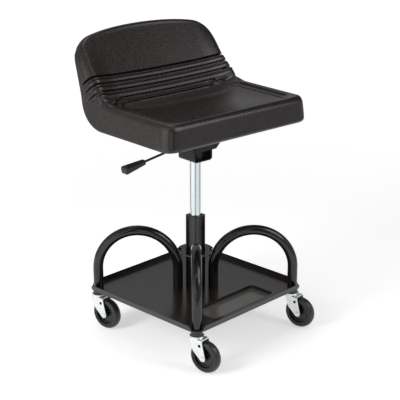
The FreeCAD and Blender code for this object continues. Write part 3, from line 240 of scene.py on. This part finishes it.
class Paint:
    """A Principled material, with short calls that add variation to it."""

    def __init__(self, name, color, roughness, metallic=0.0, specular=0.5):
        self.material = bpy.data.materials.new(name)
        self.material.use_nodes = True
        self.tree = self.material.node_tree
        self.shader = self.tree.nodes["Principled BSDF"]
        self.color = color
        self.height = None
        self.set("Base Color", (*color, 1))
        self.set("Roughness", roughness)
        self.set("Metallic", metallic)
        self.set("Specular IOR Level", specular)
        self.place = self.node("ShaderNodeTexCoord").outputs["Object"]

    def set(self, socket, value):
        self.shader.inputs[socket].default_value = value

    def node(self, kind, **settings):
        node = self.tree.nodes.new(kind)
        for key, value in settings.items():
            setattr(node, key, value)
        return node

    def link(self, start, end):
        self.tree.links.new(start, end)

    def stretched(self, stretch):
        mapping = self.node("ShaderNodeMapping")
        mapping.inputs["Scale"].default_value = stretch
        self.link(self.place, mapping.inputs["Vector"])
        return mapping.outputs["Vector"]

    def noise(self, size, detail=3.0, stretch=None):
        """Noise whose blotches are about so many metres across."""
        noise = self.node("ShaderNodeTexNoise")
        noise.inputs["Scale"].default_value = 1 / size
        noise.inputs["Detail"].default_value = detail
        self.link(self.stretched(stretch) if stretch else self.place, noise.inputs["Vector"])
        return noise.outputs["Fac"]

    def cells(self, size, smooth=0.6):
        """Distance to the nearest of scattered points, for a pebbled surface."""
        cells = self.node("ShaderNodeTexVoronoi", feature="SMOOTH_F1")
        cells.inputs["Scale"].default_value = 1 / size
        cells.inputs["Smoothness"].default_value = smooth
        self.link(self.place, cells.inputs["Vector"])
        return cells.outputs["Distance"]

    def spread(self, source, low, high, out_low, out_high):
        """The source's stretch from low to high, brought to the one from out_low to out_high."""
        spread = self.node("ShaderNodeMapRange")
        for socket, value in (("From Min", low), ("From Max", high), ("To Min", out_low),
                              ("To Max", out_high)):
            spread.inputs[socket].default_value = value
        self.link(source, spread.inputs["Value"])
        return spread.outputs["Result"]

    def vary_roughness(self, source, low, high):
        spread = self.spread(source, NOISE_LOW, NOISE_HIGH, low, high)
        self.link(spread, self.shader.inputs["Roughness"])

    def vary_color(self, source, other, low=0.35, high=0.65):
        mix = self.node("ShaderNodeMix", data_type="RGBA")
        mix.inputs["A"].default_value = (*self.color, 1)
        mix.inputs["B"].default_value = (*other, 1)
        self.link(self.spread(source, low, high, 0, 1), mix.inputs["Factor"])
        self.link(mix.outputs["Result"], self.shader.inputs["Base Color"])

    def relief(self, source, depth, strength=1.0):
        """Raises the surface by the source, on top of any relief it already has."""
        bump = self.node("ShaderNodeBump")
        bump.inputs["Distance"].default_value = depth
        bump.inputs["Strength"].default_value = strength
        self.link(source, bump.inputs["Height"])
        if self.height is not None:
            self.link(self.height, bump.inputs["Normal"])
        self.height = bump.outputs["Normal"]
        self.link(self.height, self.shader.inputs["Normal"])

    def color_below(self, level, other):
        """Another colour on what lies below a height, as on the bottom of a well."""
        parts = self.node("ShaderNodeSeparateXYZ")
        self.link(self.place, parts.inputs[0])
        mix = self.node("ShaderNodeMix", data_type="RGBA")
        mix.inputs["A"].default_value = (*other, 1)
        above = self.spread(parts.outputs["Z"], level, level + LEVEL_BLEND, 0, 1)
        self.link(above, mix.inputs["Factor"])
        self.link(self.shader.inputs["Base Color"].links[0].from_socket, mix.inputs["B"])
        self.link(mix.outputs["Result"], self.shader.inputs["Base Color"])

    def soft_edges(self, radius):
        """Shades sharp sheet and turned edges as if they were broken by a small radius."""
        bevel = self.node("ShaderNodeBevel", samples=BEVEL_SAMPLES)
        bevel.inputs["Radius"].default_value = radius
        self.height = bevel.outputs["Normal"]
        self.link(self.height, self.shader.inputs["Normal"])


def seat_skin():
    paint = Paint("seat_skin", (0.022, 0.0155, 0.0150), 0.42, specular=0.5)
    paint.vary_color(paint.noise(0.012, detail=5), other=(0.014, 0.0100, 0.0096))
    paint.vary_roughness(paint.noise(0.006, detail=3), low=0.23, high=0.33)
    paint.relief(paint.cells(0.0034), depth=0.0002, strength=0.6)
    paint.relief(paint.noise(0.0012, detail=2), depth=0.00006, strength=0.5)
    return paint.material


# The tray's floor lies above this height, and the floor of its well below it
WELL_LEVEL = 0.0955


def tray_paint():
    paint = Paint("tray_paint", (0.019, 0.0125, 0.0095), 0.22, specular=0.75)
    paint.soft_edges(0.0008)
    paint.vary_color(paint.noise(0.004, detail=4), other=(0.010, 0.0085, 0.0078))
    paint.color_below(WELL_LEVEL, (0.11, 0.106, 0.102))
    paint.vary_roughness(paint.noise(0.0025, detail=4), low=0.17, high=0.27)
    paint.relief(paint.noise(0.0014, detail=2), depth=0.00004, strength=0.5)
    return paint.material


def gloss_paint():
    paint = Paint("gloss_paint", (0.005, 0.0045, 0.0042), 0.13, specular=0.55)
    paint.soft_edges(0.0006)
    paint.vary_roughness(paint.noise(0.02, detail=4), low=0.09, high=0.16)
    paint.relief(paint.noise(0.0035, detail=1), depth=0.00004, strength=0.4)
    return paint.material


def bracket_paint():
    paint = Paint("bracket_paint", (0.016, 0.0155, 0.0155), 0.42, specular=0.27)
    paint.soft_edges(0.0008)
    paint.vary_color(paint.noise(0.01, detail=5), other=(0.019, 0.019, 0.019))
    paint.vary_roughness(paint.noise(0.01, detail=4), low=0.38, high=0.52)
    paint.relief(paint.noise(0.0011, detail=2), depth=0.00007, strength=0.6)
    return paint.material


def black_plastic():
    paint = Paint("black_plastic", (0.016, 0.016, 0.016), 0.42, specular=0.4)
    paint.soft_edges(0.0005)
    paint.vary_roughness(paint.noise(0.006, detail=3), low=0.36, high=0.5)
    paint.relief(paint.noise(0.0006, detail=2), depth=0.00005, strength=0.5)
    return paint.material


def wheel_plastic():
    paint = Paint("wheel_plastic", (0.008, 0.0075, 0.0075), 0.26, specular=0.5)
    paint.soft_edges(0.0006)
    paint.vary_roughness(paint.noise(0.008, detail=3), low=0.2, high=0.32)
    paint.relief(paint.noise(0.001, detail=2), depth=0.00004, strength=0.5)
    return paint.material


def tyre_rubber():
    paint = Paint("tyre_rubber", (0.012, 0.0115, 0.0115), 0.32, specular=0.5)
    paint.soft_edges(0.001)
    paint.vary_color(paint.noise(0.01, detail=5), other=(0.018, 0.017, 0.0165))
    paint.vary_roughness(paint.noise(0.004, detail=4), low=0.24, high=0.42)
    paint.relief(paint.noise(0.0012, detail=3), depth=0.00008, strength=0.5)
    return paint.material


def zinc_plate():
    paint = Paint("zinc_plate", (0.84, 0.87, 0.86), 0.26, metallic=1.0)
    paint.soft_edges(0.0006)
    paint.vary_color(paint.noise(0.009, detail=3), other=(0.78, 0.82, 0.81))
    paint.vary_roughness(paint.noise(0.004, detail=4), low=0.22, high=0.32)
    paint.relief(paint.noise(0.002, detail=2), depth=0.00003, strength=0.3)
    return paint.material


def chrome_plate():
    paint = Paint("chrome_plate", (0.60, 0.655, 0.67), 0.12, metallic=1.0)
    paint.vary_roughness(paint.noise(0.02, detail=5, stretch=(1, 1, 0.1)), low=0.1, high=0.16)
    paint.relief(paint.noise(0.0015, detail=2, stretch=(1, 1, 0.05)), depth=0.00001, strength=0.4)
    return paint.material


def steel():
    paint = Paint("steel", (0.55, 0.56, 0.58), 0.34, metallic=1.0)
    paint.soft_edges(0.0004)
    paint.vary_roughness(paint.noise(0.003, detail=4), low=0.28, high=0.45)
    paint.relief(paint.noise(0.0006, detail=2), depth=0.00003, strength=0.4)
    return paint.material


def stop_rubber():
    paint = Paint("stop_rubber", (0.02, 0.02, 0.02), 0.6, specular=0.35)
    paint.relief(paint.noise(0.0008, detail=3), depth=0.00008, strength=0.5)
    return paint.material


def board_wood():
    paint = Paint("board_wood", (0.42, 0.30, 0.18), 0.6, specular=0.3)
    paint.vary_color(paint.noise(0.004, detail=6, stretch=(1, 0.08, 1)), other=(0.30, 0.20, 0.11))
    paint.vary_roughness(paint.noise(0.01, detail=3), low=0.55, high=0.7)
    paint.relief(paint.noise(0.0015, detail=4, stretch=(1, 0.08, 1)), depth=0.0001, strength=0.5)
    return paint.material


FINISHES = {
    "tray_paint": tray_paint(),
    "gloss_paint": gloss_paint(),
    "bracket_paint": bracket_paint(),
    "black_plastic": black_plastic(),
    "steel": steel(),
    "sleeve_steel": steel(),
    "zinc": zinc_plate(),
    "chrome": chrome_plate(),
    "stop_rubber": stop_rubber(),
    "board_wood": board_wood(),
    "seat_skin": seat_skin(),
    "wheel_plastic": wheel_plastic(),
    "tyre_rubber": tyre_rubber(),
}


def paint_nodes():
    """Gives each CAD node the finish of its own material slot in the record."""
    for part in frame["record"]["subparts"]:
        node = frame["nodes"][part["node"]]
        finish = FINISHES[part["material_slot"]]
        if not node.material_slots:
            node.data.materials.append(finish)
        for spot in node.material_slots:
            spot.material = finish


# Moulded seat. Sizes in millimetres in the seat's own frame, before its yaw. Places in its
# section are (y, z), and heights are above the floor.

SEAT_WIDTH = 437
SEAT_HALF = SEAT_WIDTH / 2
SEAT_FRONT = 165
SEAT_BOTTOM = 534.5
SEAT_RIM = 598

# Front face: its rounded upper and lower edges, its slope and the corners to the sides
SHOULDER_RADIUS = 17
TOE_RADIUS = 8
FRONT_DRAFT = -3.5
CORNER_ROUND = 40
CORNER_POWER = 2.6

# Side faces: how they spread towards the bottom, and their rounded edges
SIDE_SPREAD = 5.5
SPREAD_TOP = 620
SPREAD_FOOT = 545
SIDE_ROUND = 7.4
RIM_SIDE_ROUND = 12

# Pan: its slight hollow, then the stepped dish and the bowl inside its rim
PAN_DISH = 4
PAN_DISH_POWER = 4
PAN_RIM_WIDTH = 44
DISH_HALF = 203
DISH_FRONT = 152
DISH_CORNER = 48
DISH_STEP = 5
DISH_STEP_WIDTH = 20
DISH_BOWL = 9
DISH_BOWL_WIDTH = 125
DISH_START_ROW = 2
DISH_FADE_ROWS = 40

# Heel and rear
HEEL_Y = 82
HEEL_MID = (141, 555)
REAR_LOW = (166.3, 600)
REAR_LEAN = math.radians(14.9)
REAR_BULGE = 16.8

# Face of the backrest: hollow in the middle, its sides swept forward as wings
CREASE = (84, 600.6)
FACE_LOW = (95.3, 607)
FACE_LEAN = math.radians(38)
FACE_HOLLOW = 8
HOLLOW_FADE = 60
WING_SWEEP = 13
WING_ROLL = 3
WING_ROLL_START = 150
WING_ROLL_END = 205
WING_ROLL_TOP = 735
WING_ROLL_FADE = 60
WING_ROUND = 24
WING_FOOT = 580
WING_CLIMB = 75
WING_SHARE_AT_CREASE = 0.4
RIM_DROP_AT_CREASE = 0.6

# Where the rim rises into the wings' feet
FILLET_RISE = 7
FILLET_Y = 86
FILLET_REACH = 42
FILLET_INSIDE = 184
FILLET_FADE = 26

# Crest of the backrest. Towards the sides its face end droops and its rounding goes from the
# crest's share to the wings', both by CREST_POWER of the way out.
BACK_TOP = 757
BACK_CROWN = 19.4
BACK_CORNER_ROUND = 56
BACK_CORNER_POWER = 2.2
CREST_DROP = 9.3
WING_DROOP = 10
CREST_ROUND_SHARE = 0.8
WING_ROUND_SHARE = 0.2
CREST_POWER = 4

# Ribs across the backrest, between the three grooves that wrap round it. Each groove is
# (number from the lowest rib, depth, half width), and a finer one follows below it, FINE_SHARE
# of the pitch away.
RIB_PITCH = 16.3
RIB_HEIGHT = 3.6
RIBS = 3
RIB_GROOVES = ((1, 7.0, 2.6), (2, 7.0, 2.6), (3, 9.0, 3.4))
RIB_WRAP = 52
RIB_WRAP_FADE = 14
FINE_SHARE = 0.42
FINE_DEPTH = 4.0
FINE_HALF = 1.9
GROOVE_POWER = 1.5

# Two grooves round the pan like nested letters U. The second lies inside the first, by one
# pitch at the sides and by another at the rear.
PAN_GROOVES = 2
PAN_GROOVE_DEPTH = 5.5
PAN_GROOVE_HALF = 2.6
PAN_GROOVE_FRONT = 113
PAN_GROOVE_REACH = 194
PAN_GROOVE_PITCH = 13
PAN_GROOVE_REAR_PITCH = 17
PAN_GROOVE_CORNER = 56
PAN_GROOVE_CORNER_PITCH = PAN_GROOVE_PITCH * 0.7
PAN_FINE_FADE = 30

# Rows of points from the crest down the face and over the pan to the middle of the front
CREST_ROWS = 10
FACE_COARSE_ROWS = 18
FACE_FINE_ROWS = 20
FACE_FINE_SHARE = 0.1
FACE_ROWS = FACE_COARSE_ROWS + FACE_FINE_ROWS
RIB_ROWS = 28
FOOT_ROWS = 24
PAN_REAR_ROWS = 32
PAN_REAR_SHARE = 0.14
PAN_MAIN_ROWS = 98
BROW_ROWS = 14
FRONT_ROWS = 17
RIBS_END = CREST_ROWS + FACE_ROWS + RIBS * RIB_ROWS
PAN_START = RIBS_END + FOOT_ROWS
PAN_END = PAN_START + PAN_REAR_ROWS + PAN_MAIN_ROWS
BROW_END = PAN_END + BROW_ROWS
FRONT_MIDDLE = BROW_END + FRONT_ROWS

# How far along the rear and the bottom each of these rows is paired, and how many points that
# outline has on the crest's arc, each straight or rounded stretch, the toe and the front
OUTER_SHARES = ((0, 0.0), (CREST_ROWS, 0.022), (CREST_ROWS + FACE_ROWS, 0.24), (RIBS_END, 0.42),
                (PAN_START, 0.47), (PAN_START + PAN_REAR_ROWS, 0.535), (PAN_END, 0.93),
                (BROW_END, 0.963), (FRONT_MIDDLE, 1.0))
CREST_STEPS = 20
OUTER_CREST_ROWS = 10
OUTER_ROWS = 60
TOE_ROWS = 12
OUTER_FRONT_ROWS = 4

# Places across the seat: stretches of (inner end, outer end, count), then the rounded side
SIDE_START = 192
SIDE_STATIONS = 26
STATION_BOUNDS = ((0, 120, 20), (120, 160, 20), (160, SIDE_START, 32))

# Where a point isn't on the pan's way down from the lowest rib
OFF_PAN = -1e3

# Three points this near one line have no circle through them, and a shorter normal than this
# has no direction
NEARLY_STRAIGHT = 1e-6
NO_LENGTH = 1e-12


def round_off(distance, radius, power=2.0):
    """How far a rounded edge is drawn in at a distance from the side."""
    reach = min(1.0, max(0.0, 1 - distance / radius))
    return radius * (1 - (1 - reach ** power) ** (1 / power))


def eased(share):
    share = np.clip(share, 0, 1)
    return share * share * (3 - 2 * share)


def wing_sweep(x, z):
    """How far the face comes forward along its own normal: less than nothing in the middle,
    where it is hollow, and most at the sides."""
    roll = eased((np.abs(x) - WING_ROLL_START) / (WING_ROLL_END - WING_ROLL_START))
    fade = eased((WING_ROLL_TOP - z) / WING_ROLL_FADE)
    hollow = FACE_HOLLOW * eased((BACK_TOP - z) / HOLLOW_FADE)
    return WING_SWEEP * (x / SEAT_HALF) ** 2 - hollow + WING_ROLL * roll * fade


def even(count):
    """Even shares from 0 up to, not including, 1."""
    return np.arange(count) / count


def two_rates(first_count, first_share, second_count):
    """Shares from 0 up to 1, so many in the first stretch and so many in the rest."""
    return np.concatenate([even(first_count) * first_share,
                           first_share + even(second_count) * (1 - first_share)])


FACE_SHARES = two_rates(FACE_COARSE_ROWS, 1 - FACE_FINE_SHARE, FACE_FINE_ROWS)
PAN_SHARES = two_rates(PAN_REAR_ROWS, PAN_REAR_SHARE, PAN_MAIN_ROWS)


def straight(first, last, shares):
    """Points from the first towards the last, at these shares of the way."""
    steps = shares[:, None]
    return np.asarray(first) * (1 - steps) + np.asarray(last) * steps


def bowed(first, last, bow, shares):
    """Points from the first towards the last that bow out by a vector in the middle."""
    steps = shares[:, None]
    return straight(first, last, shares) + np.asarray(bow) * (4 * steps * (1 - steps))


def through(first, middle, last, shares):
    """Points along the circle through three places, at these shares of the arc."""
    a, b, c = (np.asarray(p, float) for p in (first, middle, last))
    rows = np.array([b - a, c - a]) * 2
    sums = np.array([b @ b - a @ a, c @ c - a @ a])
    if abs(np.linalg.det(rows)) < NEARLY_STRAIGHT:
        return straight(a, c, shares)
    centre = np.linalg.solve(rows, sums)
    radius = np.linalg.norm(a - centre)
    turns = [math.atan2(*(p - centre)[::-1]) for p in (a, b, c)]
    whole = (turns[2] - turns[0]) % (2 * math.pi)
    if (turns[1] - turns[0]) % (2 * math.pi) > whole:
        whole -= 2 * math.pi
    angles = turns[0] + whole * shares
    return centre + radius * np.stack([np.cos(angles), np.sin(angles)], 1)


def evened(points, shares):
    """Points along a line of points, at these shares of its length."""
    lengths = np.concatenate([[0], np.cumsum(np.linalg.norm(np.diff(points, axis=0), axis=1))])
    wanted = np.asarray(shares) * lengths[-1]
    return np.stack([np.interp(wanted, lengths, points[:, axis]) for axis in (0, 1)], 1)


class Section:
    """The seat's outline in a plane across X, as (y, z) in millimetres."""

    def __init__(self, x):
        share = abs(x) / SEAT_HALF
        distance = SEAT_HALF - abs(x)
        self.x = x
        self.pull = round_off(distance, SIDE_ROUND)
        self.bottom = SEAT_BOTTOM + self.pull / 2
        self.rim_drop = round_off(distance, RIM_SIDE_ROUND)
        self.wing = round_off(distance, WING_ROUND) - self.pull
        self.bulge = REAR_BULGE * (1 - share * share) - self.pull
        inner = SEAT_HALF - PAN_RIM_WIDTH
        self.dish = PAN_DISH * max(0.0, 1 - (abs(x) / inner) ** PAN_DISH_POWER)

        rim = SEAT_RIM - self.rim_drop
        front = -SEAT_FRONT + round_off(distance, CORNER_ROUND, CORNER_POWER)
        bend = 1 - DIAGONAL
        self.edge = np.array((front + SHOULDER_RADIUS, rim))
        self.shoulder = np.array((front + SHOULDER_RADIUS * bend, rim - SHOULDER_RADIUS * bend))
        self.brow = np.array((front, rim - SHOULDER_RADIUS))
        self.chin = np.array((front + FRONT_DRAFT, self.bottom + TOE_RADIUS))
        self.front_middle = (self.brow + self.chin) / 2
        self.sole = np.array((front + TOE_RADIUS, self.bottom))
        self.toe = self.sole + (self.chin - self.sole) * (1 - bend, bend)

        corner = round_off(distance, BACK_CORNER_ROUND, BACK_CORNER_POWER)
        below = BACK_TOP - BACK_CROWN * share * share - corner - CREST_DROP
        outward = share ** CREST_POWER
        self.high_rear = self.rear(below)
        self.high_face = self.face(below - WING_DROOP * outward)
        across = (self.high_rear - self.high_face) / 2
        rounding = CREST_ROUND_SHARE + (WING_ROUND_SHARE - CREST_ROUND_SHARE) * outward
        self.top = self.high_face + across + np.array((-across[1], across[0])) * rounding

    def drawn_in(self, y, z, inward, sweep_share=1.0):
        """A place on the face moved back along the face's normal, less the wings' sweep."""
        inward = inward - wing_sweep(self.x, z) * sweep_share
        return np.array((y + inward * math.cos(FACE_LEAN), z - inward * math.sin(FACE_LEAN)))

    def face(self, z):
        y = FACE_LOW[0] + (z - FACE_LOW[1]) * math.tan(FACE_LEAN)
        return self.drawn_in(y, z, self.pull + self.wing * eased((z - WING_FOOT) / WING_CLIMB))

    def rear(self, z):
        return np.array((REAR_LOW[0] + (z - REAR_LOW[1]) * math.tan(REAR_LEAN) + self.bulge, z))

    def inner_side(self):
        """From the crest down the face and over the pan to the middle of the front."""
        out = np.array((-math.cos(FACE_LEAN), math.sin(FACE_LEAN))) * RIB_HEIGHT
        ribs = [self.face(FACE_LOW[1] + RIB_PITCH * number) for number in range(RIBS, -1, -1)]
        drop = self.dish + self.rim_drop * RIM_DROP_AT_CREASE
        inward = self.pull + self.wing * WING_SHARE_AT_CREASE
        crease = self.drawn_in(CREASE[0], CREASE[1] - drop, inward, WING_SHARE_AT_CREASE)
        pan_middle = (crease + self.edge) / 2 - (0, self.dish)
        parts = [through(self.top, self.crest_point(0.25), self.high_face, even(CREST_ROWS))]
        parts.append(straight(self.high_face, ribs[0], FACE_SHARES))
        for upper, lower in zip(ribs, ribs[1:]):
            parts.append(bowed(upper, lower, out, even(RIB_ROWS)))
        parts.append(bowed(ribs[-1], crease, out / 2, even(FOOT_ROWS)))
        parts.append(through(crease, pan_middle, self.edge, PAN_SHARES))
        parts.append(through(self.edge, self.shoulder, self.brow, even(BROW_ROWS)))
        parts.append(straight(self.brow, self.front_middle, even(FRONT_ROWS)))
        return np.concatenate(parts + [[self.front_middle]])

    def outer_side(self):
        """From the crest down the rear and along the bottom to the middle of the front."""
        low_rear = self.rear(REAR_LOW[1])
        heel = np.array((HEEL_Y, self.bottom))
        heel_mid = np.array((HEEL_MID[0] + self.bulge * DIAGONAL, HEEL_MID[1] + self.pull))
        parts = [through(self.top, self.crest_point(0.75), self.high_rear, even(OUTER_CREST_ROWS))]
        parts.append(straight(self.high_rear, low_rear, even(OUTER_ROWS)))
        parts.append(through(low_rear, heel_mid, heel, even(OUTER_ROWS)))
        parts.append(straight(heel, self.sole, even(OUTER_ROWS)))
        parts.append(through(self.sole, self.toe, self.chin, even(TOE_ROWS)))
        parts.append(straight(self.chin, self.front_middle, even(OUTER_FRONT_ROWS)))
        return np.concatenate(parts + [[self.front_middle]])

    def crest_point(self, share):
        """A point on the crest's arc, from its face end to its rear end."""
        points = through(self.high_face, self.top, self.high_rear, even(CREST_STEPS))
        return points[int(round(share * CREST_STEPS))]


def seat_stations():
    """Places across the seat, closer together over the grooves and the rounded sides."""
    right = np.concatenate([np.linspace(*bounds, endpoint=False) for bounds in STATION_BOUNDS])
    turns = np.linspace(0, math.pi / 2, SIDE_STATIONS)
    right = np.append(right, SIDE_START + (SEAT_HALF - SIDE_START) * np.sin(turns))
    return np.concatenate([-right[:0:-1], right])


def foot_fillet(points, rows):
    """How far the rim rises into the feet of the wings, at the seat's sides. rows counts from
    the crest, and is -1 on the rear and the bottom."""
    side = eased((np.abs(points[:, 0]) - FILLET_INSIDE) / FILLET_FADE)
    away = (points[:, 1] - FILLET_Y) / FILLET_REACH
    return FILLET_RISE * side * np.clip(1 - away ** 2, 0, 1) ** 2 * (rows >= 0)


def groove(distance, half_width, depth):
    """A round-bottomed groove's depth at a distance from its line."""
    share = np.clip(1 - (distance / half_width) ** 2, 0, 1)
    return depth * share ** GROOVE_POWER


def rib_depth(points):
    """Depth of the grooves that cross the backrest and wrap round its sides."""
    back = points[:, 1] - FACE_LOW[0]
    up = points[:, 2] - FACE_LOW[1]
    along = back * math.sin(FACE_LEAN) + up * math.cos(FACE_LEAN)
    inward = back * math.cos(FACE_LEAN) - up * math.sin(FACE_LEAN)
    inward += wing_sweep(points[:, 0], points[:, 2])
    pitch = RIB_PITCH / math.cos(FACE_LEAN)
    depth = np.zeros(len(points))
    for number, deep, half in RIB_GROOVES:
        depth = np.maximum(depth, groove(np.abs(along - number * pitch), half, deep))
        fine = np.abs(along - (number - FINE_SHARE) * pitch)
        depth = np.maximum(depth, groove(fine, FINE_HALF, FINE_DEPTH))
    return depth * np.clip((RIB_WRAP - inward) / RIB_WRAP_FADE, 0, 1)


def dish_depth(points, rows):
    """How far the sitting surface lies below its rim. rows counts from the crest."""
    side = np.abs(points[:, 0]) - (DISH_HALF - DISH_CORNER)
    front = -points[:, 1] - (DISH_FRONT - DISH_CORNER)
    corner = np.hypot(np.maximum(side, 0), np.maximum(front, 0))
    inside = DISH_CORNER - corner - np.minimum(np.maximum(side, front), 0)
    bowl = 1 - np.clip(1 - inside / DISH_BOWL_WIDTH, 0, 1) ** 2
    depth = DISH_STEP * eased(inside / DISH_STEP_WIDTH) + DISH_BOWL * np.where(inside > 0, bowl, 0)
    on_pan = (rows >= PAN_START) & (rows <= PAN_END)
    return depth * eased((rows - PAN_START - DISH_START_ROW) / DISH_FADE_ROWS) * on_pan


def pan_depth(across, down, ends):
    """Depth of the two grooves round the pan. across is |x|, down is the way from the lowest
    rib towards the front, and ends is where the front ends lie on the same way."""
    depth = np.zeros(len(across))
    for number in range(PAN_GROOVES):
        reach = PAN_GROOVE_REACH - PAN_GROOVE_PITCH * number
        back = PAN_GROOVE_REAR_PITCH * number
        corner = PAN_GROOVE_CORNER - PAN_GROOVE_CORNER_PITCH * number
        side = across - (reach - corner)
        up = back + corner - down
        bend = np.abs(np.hypot(side, up) - corner)
        legs = np.where(up > 0, np.inf, np.abs(across - reach))
        rear = np.where(side > 0, np.inf, np.abs(down - back))
        distance = np.where((side > 0) & (up > 0), bend, np.minimum(legs, rear))
        past = np.hypot(across - reach, down - ends)
        distance = np.where(down > ends, past, distance)
        depth = np.maximum(depth, groove(distance, PAN_GROOVE_HALF, PAN_GROOVE_DEPTH))
        below = np.abs(down - back - FINE_SHARE * PAN_GROOVE_REAR_PITCH)
        fine = groove(below, FINE_HALF, FINE_DEPTH)
        depth = np.maximum(depth, fine * np.clip(-side / PAN_FINE_FADE, 0, 1))
    return depth


def vertex_normals(points, quads):
    corner = points[quads]
    face = np.cross(corner[:, 2] - corner[:, 0], corner[:, 3] - corner[:, 1])
    normals = np.zeros_like(points)
    for place in range(4):
        np.add.at(normals, quads[:, place], face)
    return normals / np.maximum(np.linalg.norm(normals, axis=1), NO_LENGTH)[:, None]


def seat_loops(stations):
    """The seat's outline at each station, as one closed loop of points each. Also gives each
    point's row from the crest, -1 on the rear and the bottom, its way down from the lowest
    rib, and where the pan's grooves end on that way."""
    keys, values = zip(*OUTER_SHARES)
    pairing = np.interp(np.arange(FRONT_MIDDLE + 1), keys, values)
    loops, rows, downs, ends = [], [], [], []
    for x in stations:
        section = Section(x)
        inner = section.inner_side()
        outer = evened(section.outer_side(), pairing)[-2:0:-1]
        loops.append(np.insert(np.concatenate([inner, outer]), 0, x, axis=1))
        rows.append(np.append(np.arange(len(inner)), np.full(len(outer), -1)))
        lengths = np.concatenate([[0], np.cumsum(np.linalg.norm(np.diff(inner, axis=0), axis=1))])
        down = lengths - lengths[RIBS_END]
        downs.append(np.append(down, np.full(len(outer), OFF_PAN)))
        front = np.argmin(np.abs(inner[PAN_START:PAN_END, 0] + PAN_GROOVE_FRONT)) + PAN_START
        ends.append(np.full(len(inner) + len(outer), down[front]))
    return [np.concatenate(values) for values in (loops, rows, downs, ends)]


def loop_quads(loop_count, around):
    """Faces between each loop and the next."""
    quads = []
    for row in range(loop_count - 1):
        first, last = row * around, (row + 1) * around
        for place in range(around):
            after = (place + 1) % around
            quads.append((first + place, first + after, last + after, last + place))
    return quads


def side_strips(points, base, around):
    """Fills a flat side, whose loop starts at index base, with strips from the face and pan to
    the rear and bottom, up to the straight front edge, whose own points are the last strip.
    Gives the points with the new ones, and the strips as rows of indices."""
    steps = 2 * FRONT_ROWS
    shares = even(steps)[1:]
    strips = [[base] * (steps + 1)]
    for place in range(1, BROW_END):
        first, last = base + place, base + around - place
        index = len(points) + np.arange(steps - 1)
        points = np.concatenate([points, straight(points[first], points[last], shares)])
        strips.append([first, *index, last])
    strips.append([base + BROW_END + step for step in range(steps + 1)])
    return points, strips


def strip_quads(strips, flip):
    """Faces between each strip and the next, turned over where flip is true."""
    quads = []
    for upper, lower in zip(strips, strips[1:]):
        for step in range(len(upper) - 1):
            quad = (upper[step], upper[step + 1], lower[step + 1], lower[step])
            quads.append(quad if flip else quad[::-1])
    return quads


def make_seat():
    stations = seat_stations()
    points, rows, down, ends = seat_loops(stations)
    around = len(points) // len(stations)
    points[:, 2] += foot_fillet(points, rows) - dish_depth(points, rows)
    low = eased((SPREAD_TOP - points[:, 2]) / (SPREAD_TOP - SPREAD_FOOT))
    points[:, 0] *= 1 + SIDE_SPREAD / SEAT_HALF * low

    quads = loop_quads(len(stations), around)
    for base, flip in ((0, True), (len(points) - around, False)):
        points, strips = side_strips(points, base, around)
        quads += strip_quads(strips, flip)
    quads = np.array(quads)
    added = len(points) - len(down)
    down = np.append(down, np.full(added, OFF_PAN))
    ends = np.append(ends, np.zeros(added))

    depth = np.maximum(rib_depth(points), pan_depth(np.abs(points[:, 0]), down, ends))
    points = points - vertex_normals(points, quads) * depth[:, None]
    turned = np.column_stack([points[:, 0] * math.cos(SEAT_YAW) - points[:, 1] * math.sin(SEAT_YAW),
                              points[:, 0] * math.sin(SEAT_YAW) + points[:, 1] * math.cos(SEAT_YAW),
                              points[:, 2]])
    mesh = bpy.data.meshes.new("seat_moulding")
    faces = [tuple(dict.fromkeys(int(corner) for corner in quad)) for quad in quads]
    mesh.from_pydata((turned * MM).tolist(), [], faces)
    mesh.validate()
    for polygon in mesh.polygons:
        polygon.use_smooth = True
    mesh.materials.append(FINISHES["seat_skin"])
    seat = add_object("seat_moulding", mesh)
    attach(seat, "seat")
    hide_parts("seat_foam")


make_camera()
make_world()
make_lamps()
make_floor()
make_flags()
paint_nodes()
make_seat()

scene = bpy.context.scene
scene.view_settings.view_transform = "Standard"
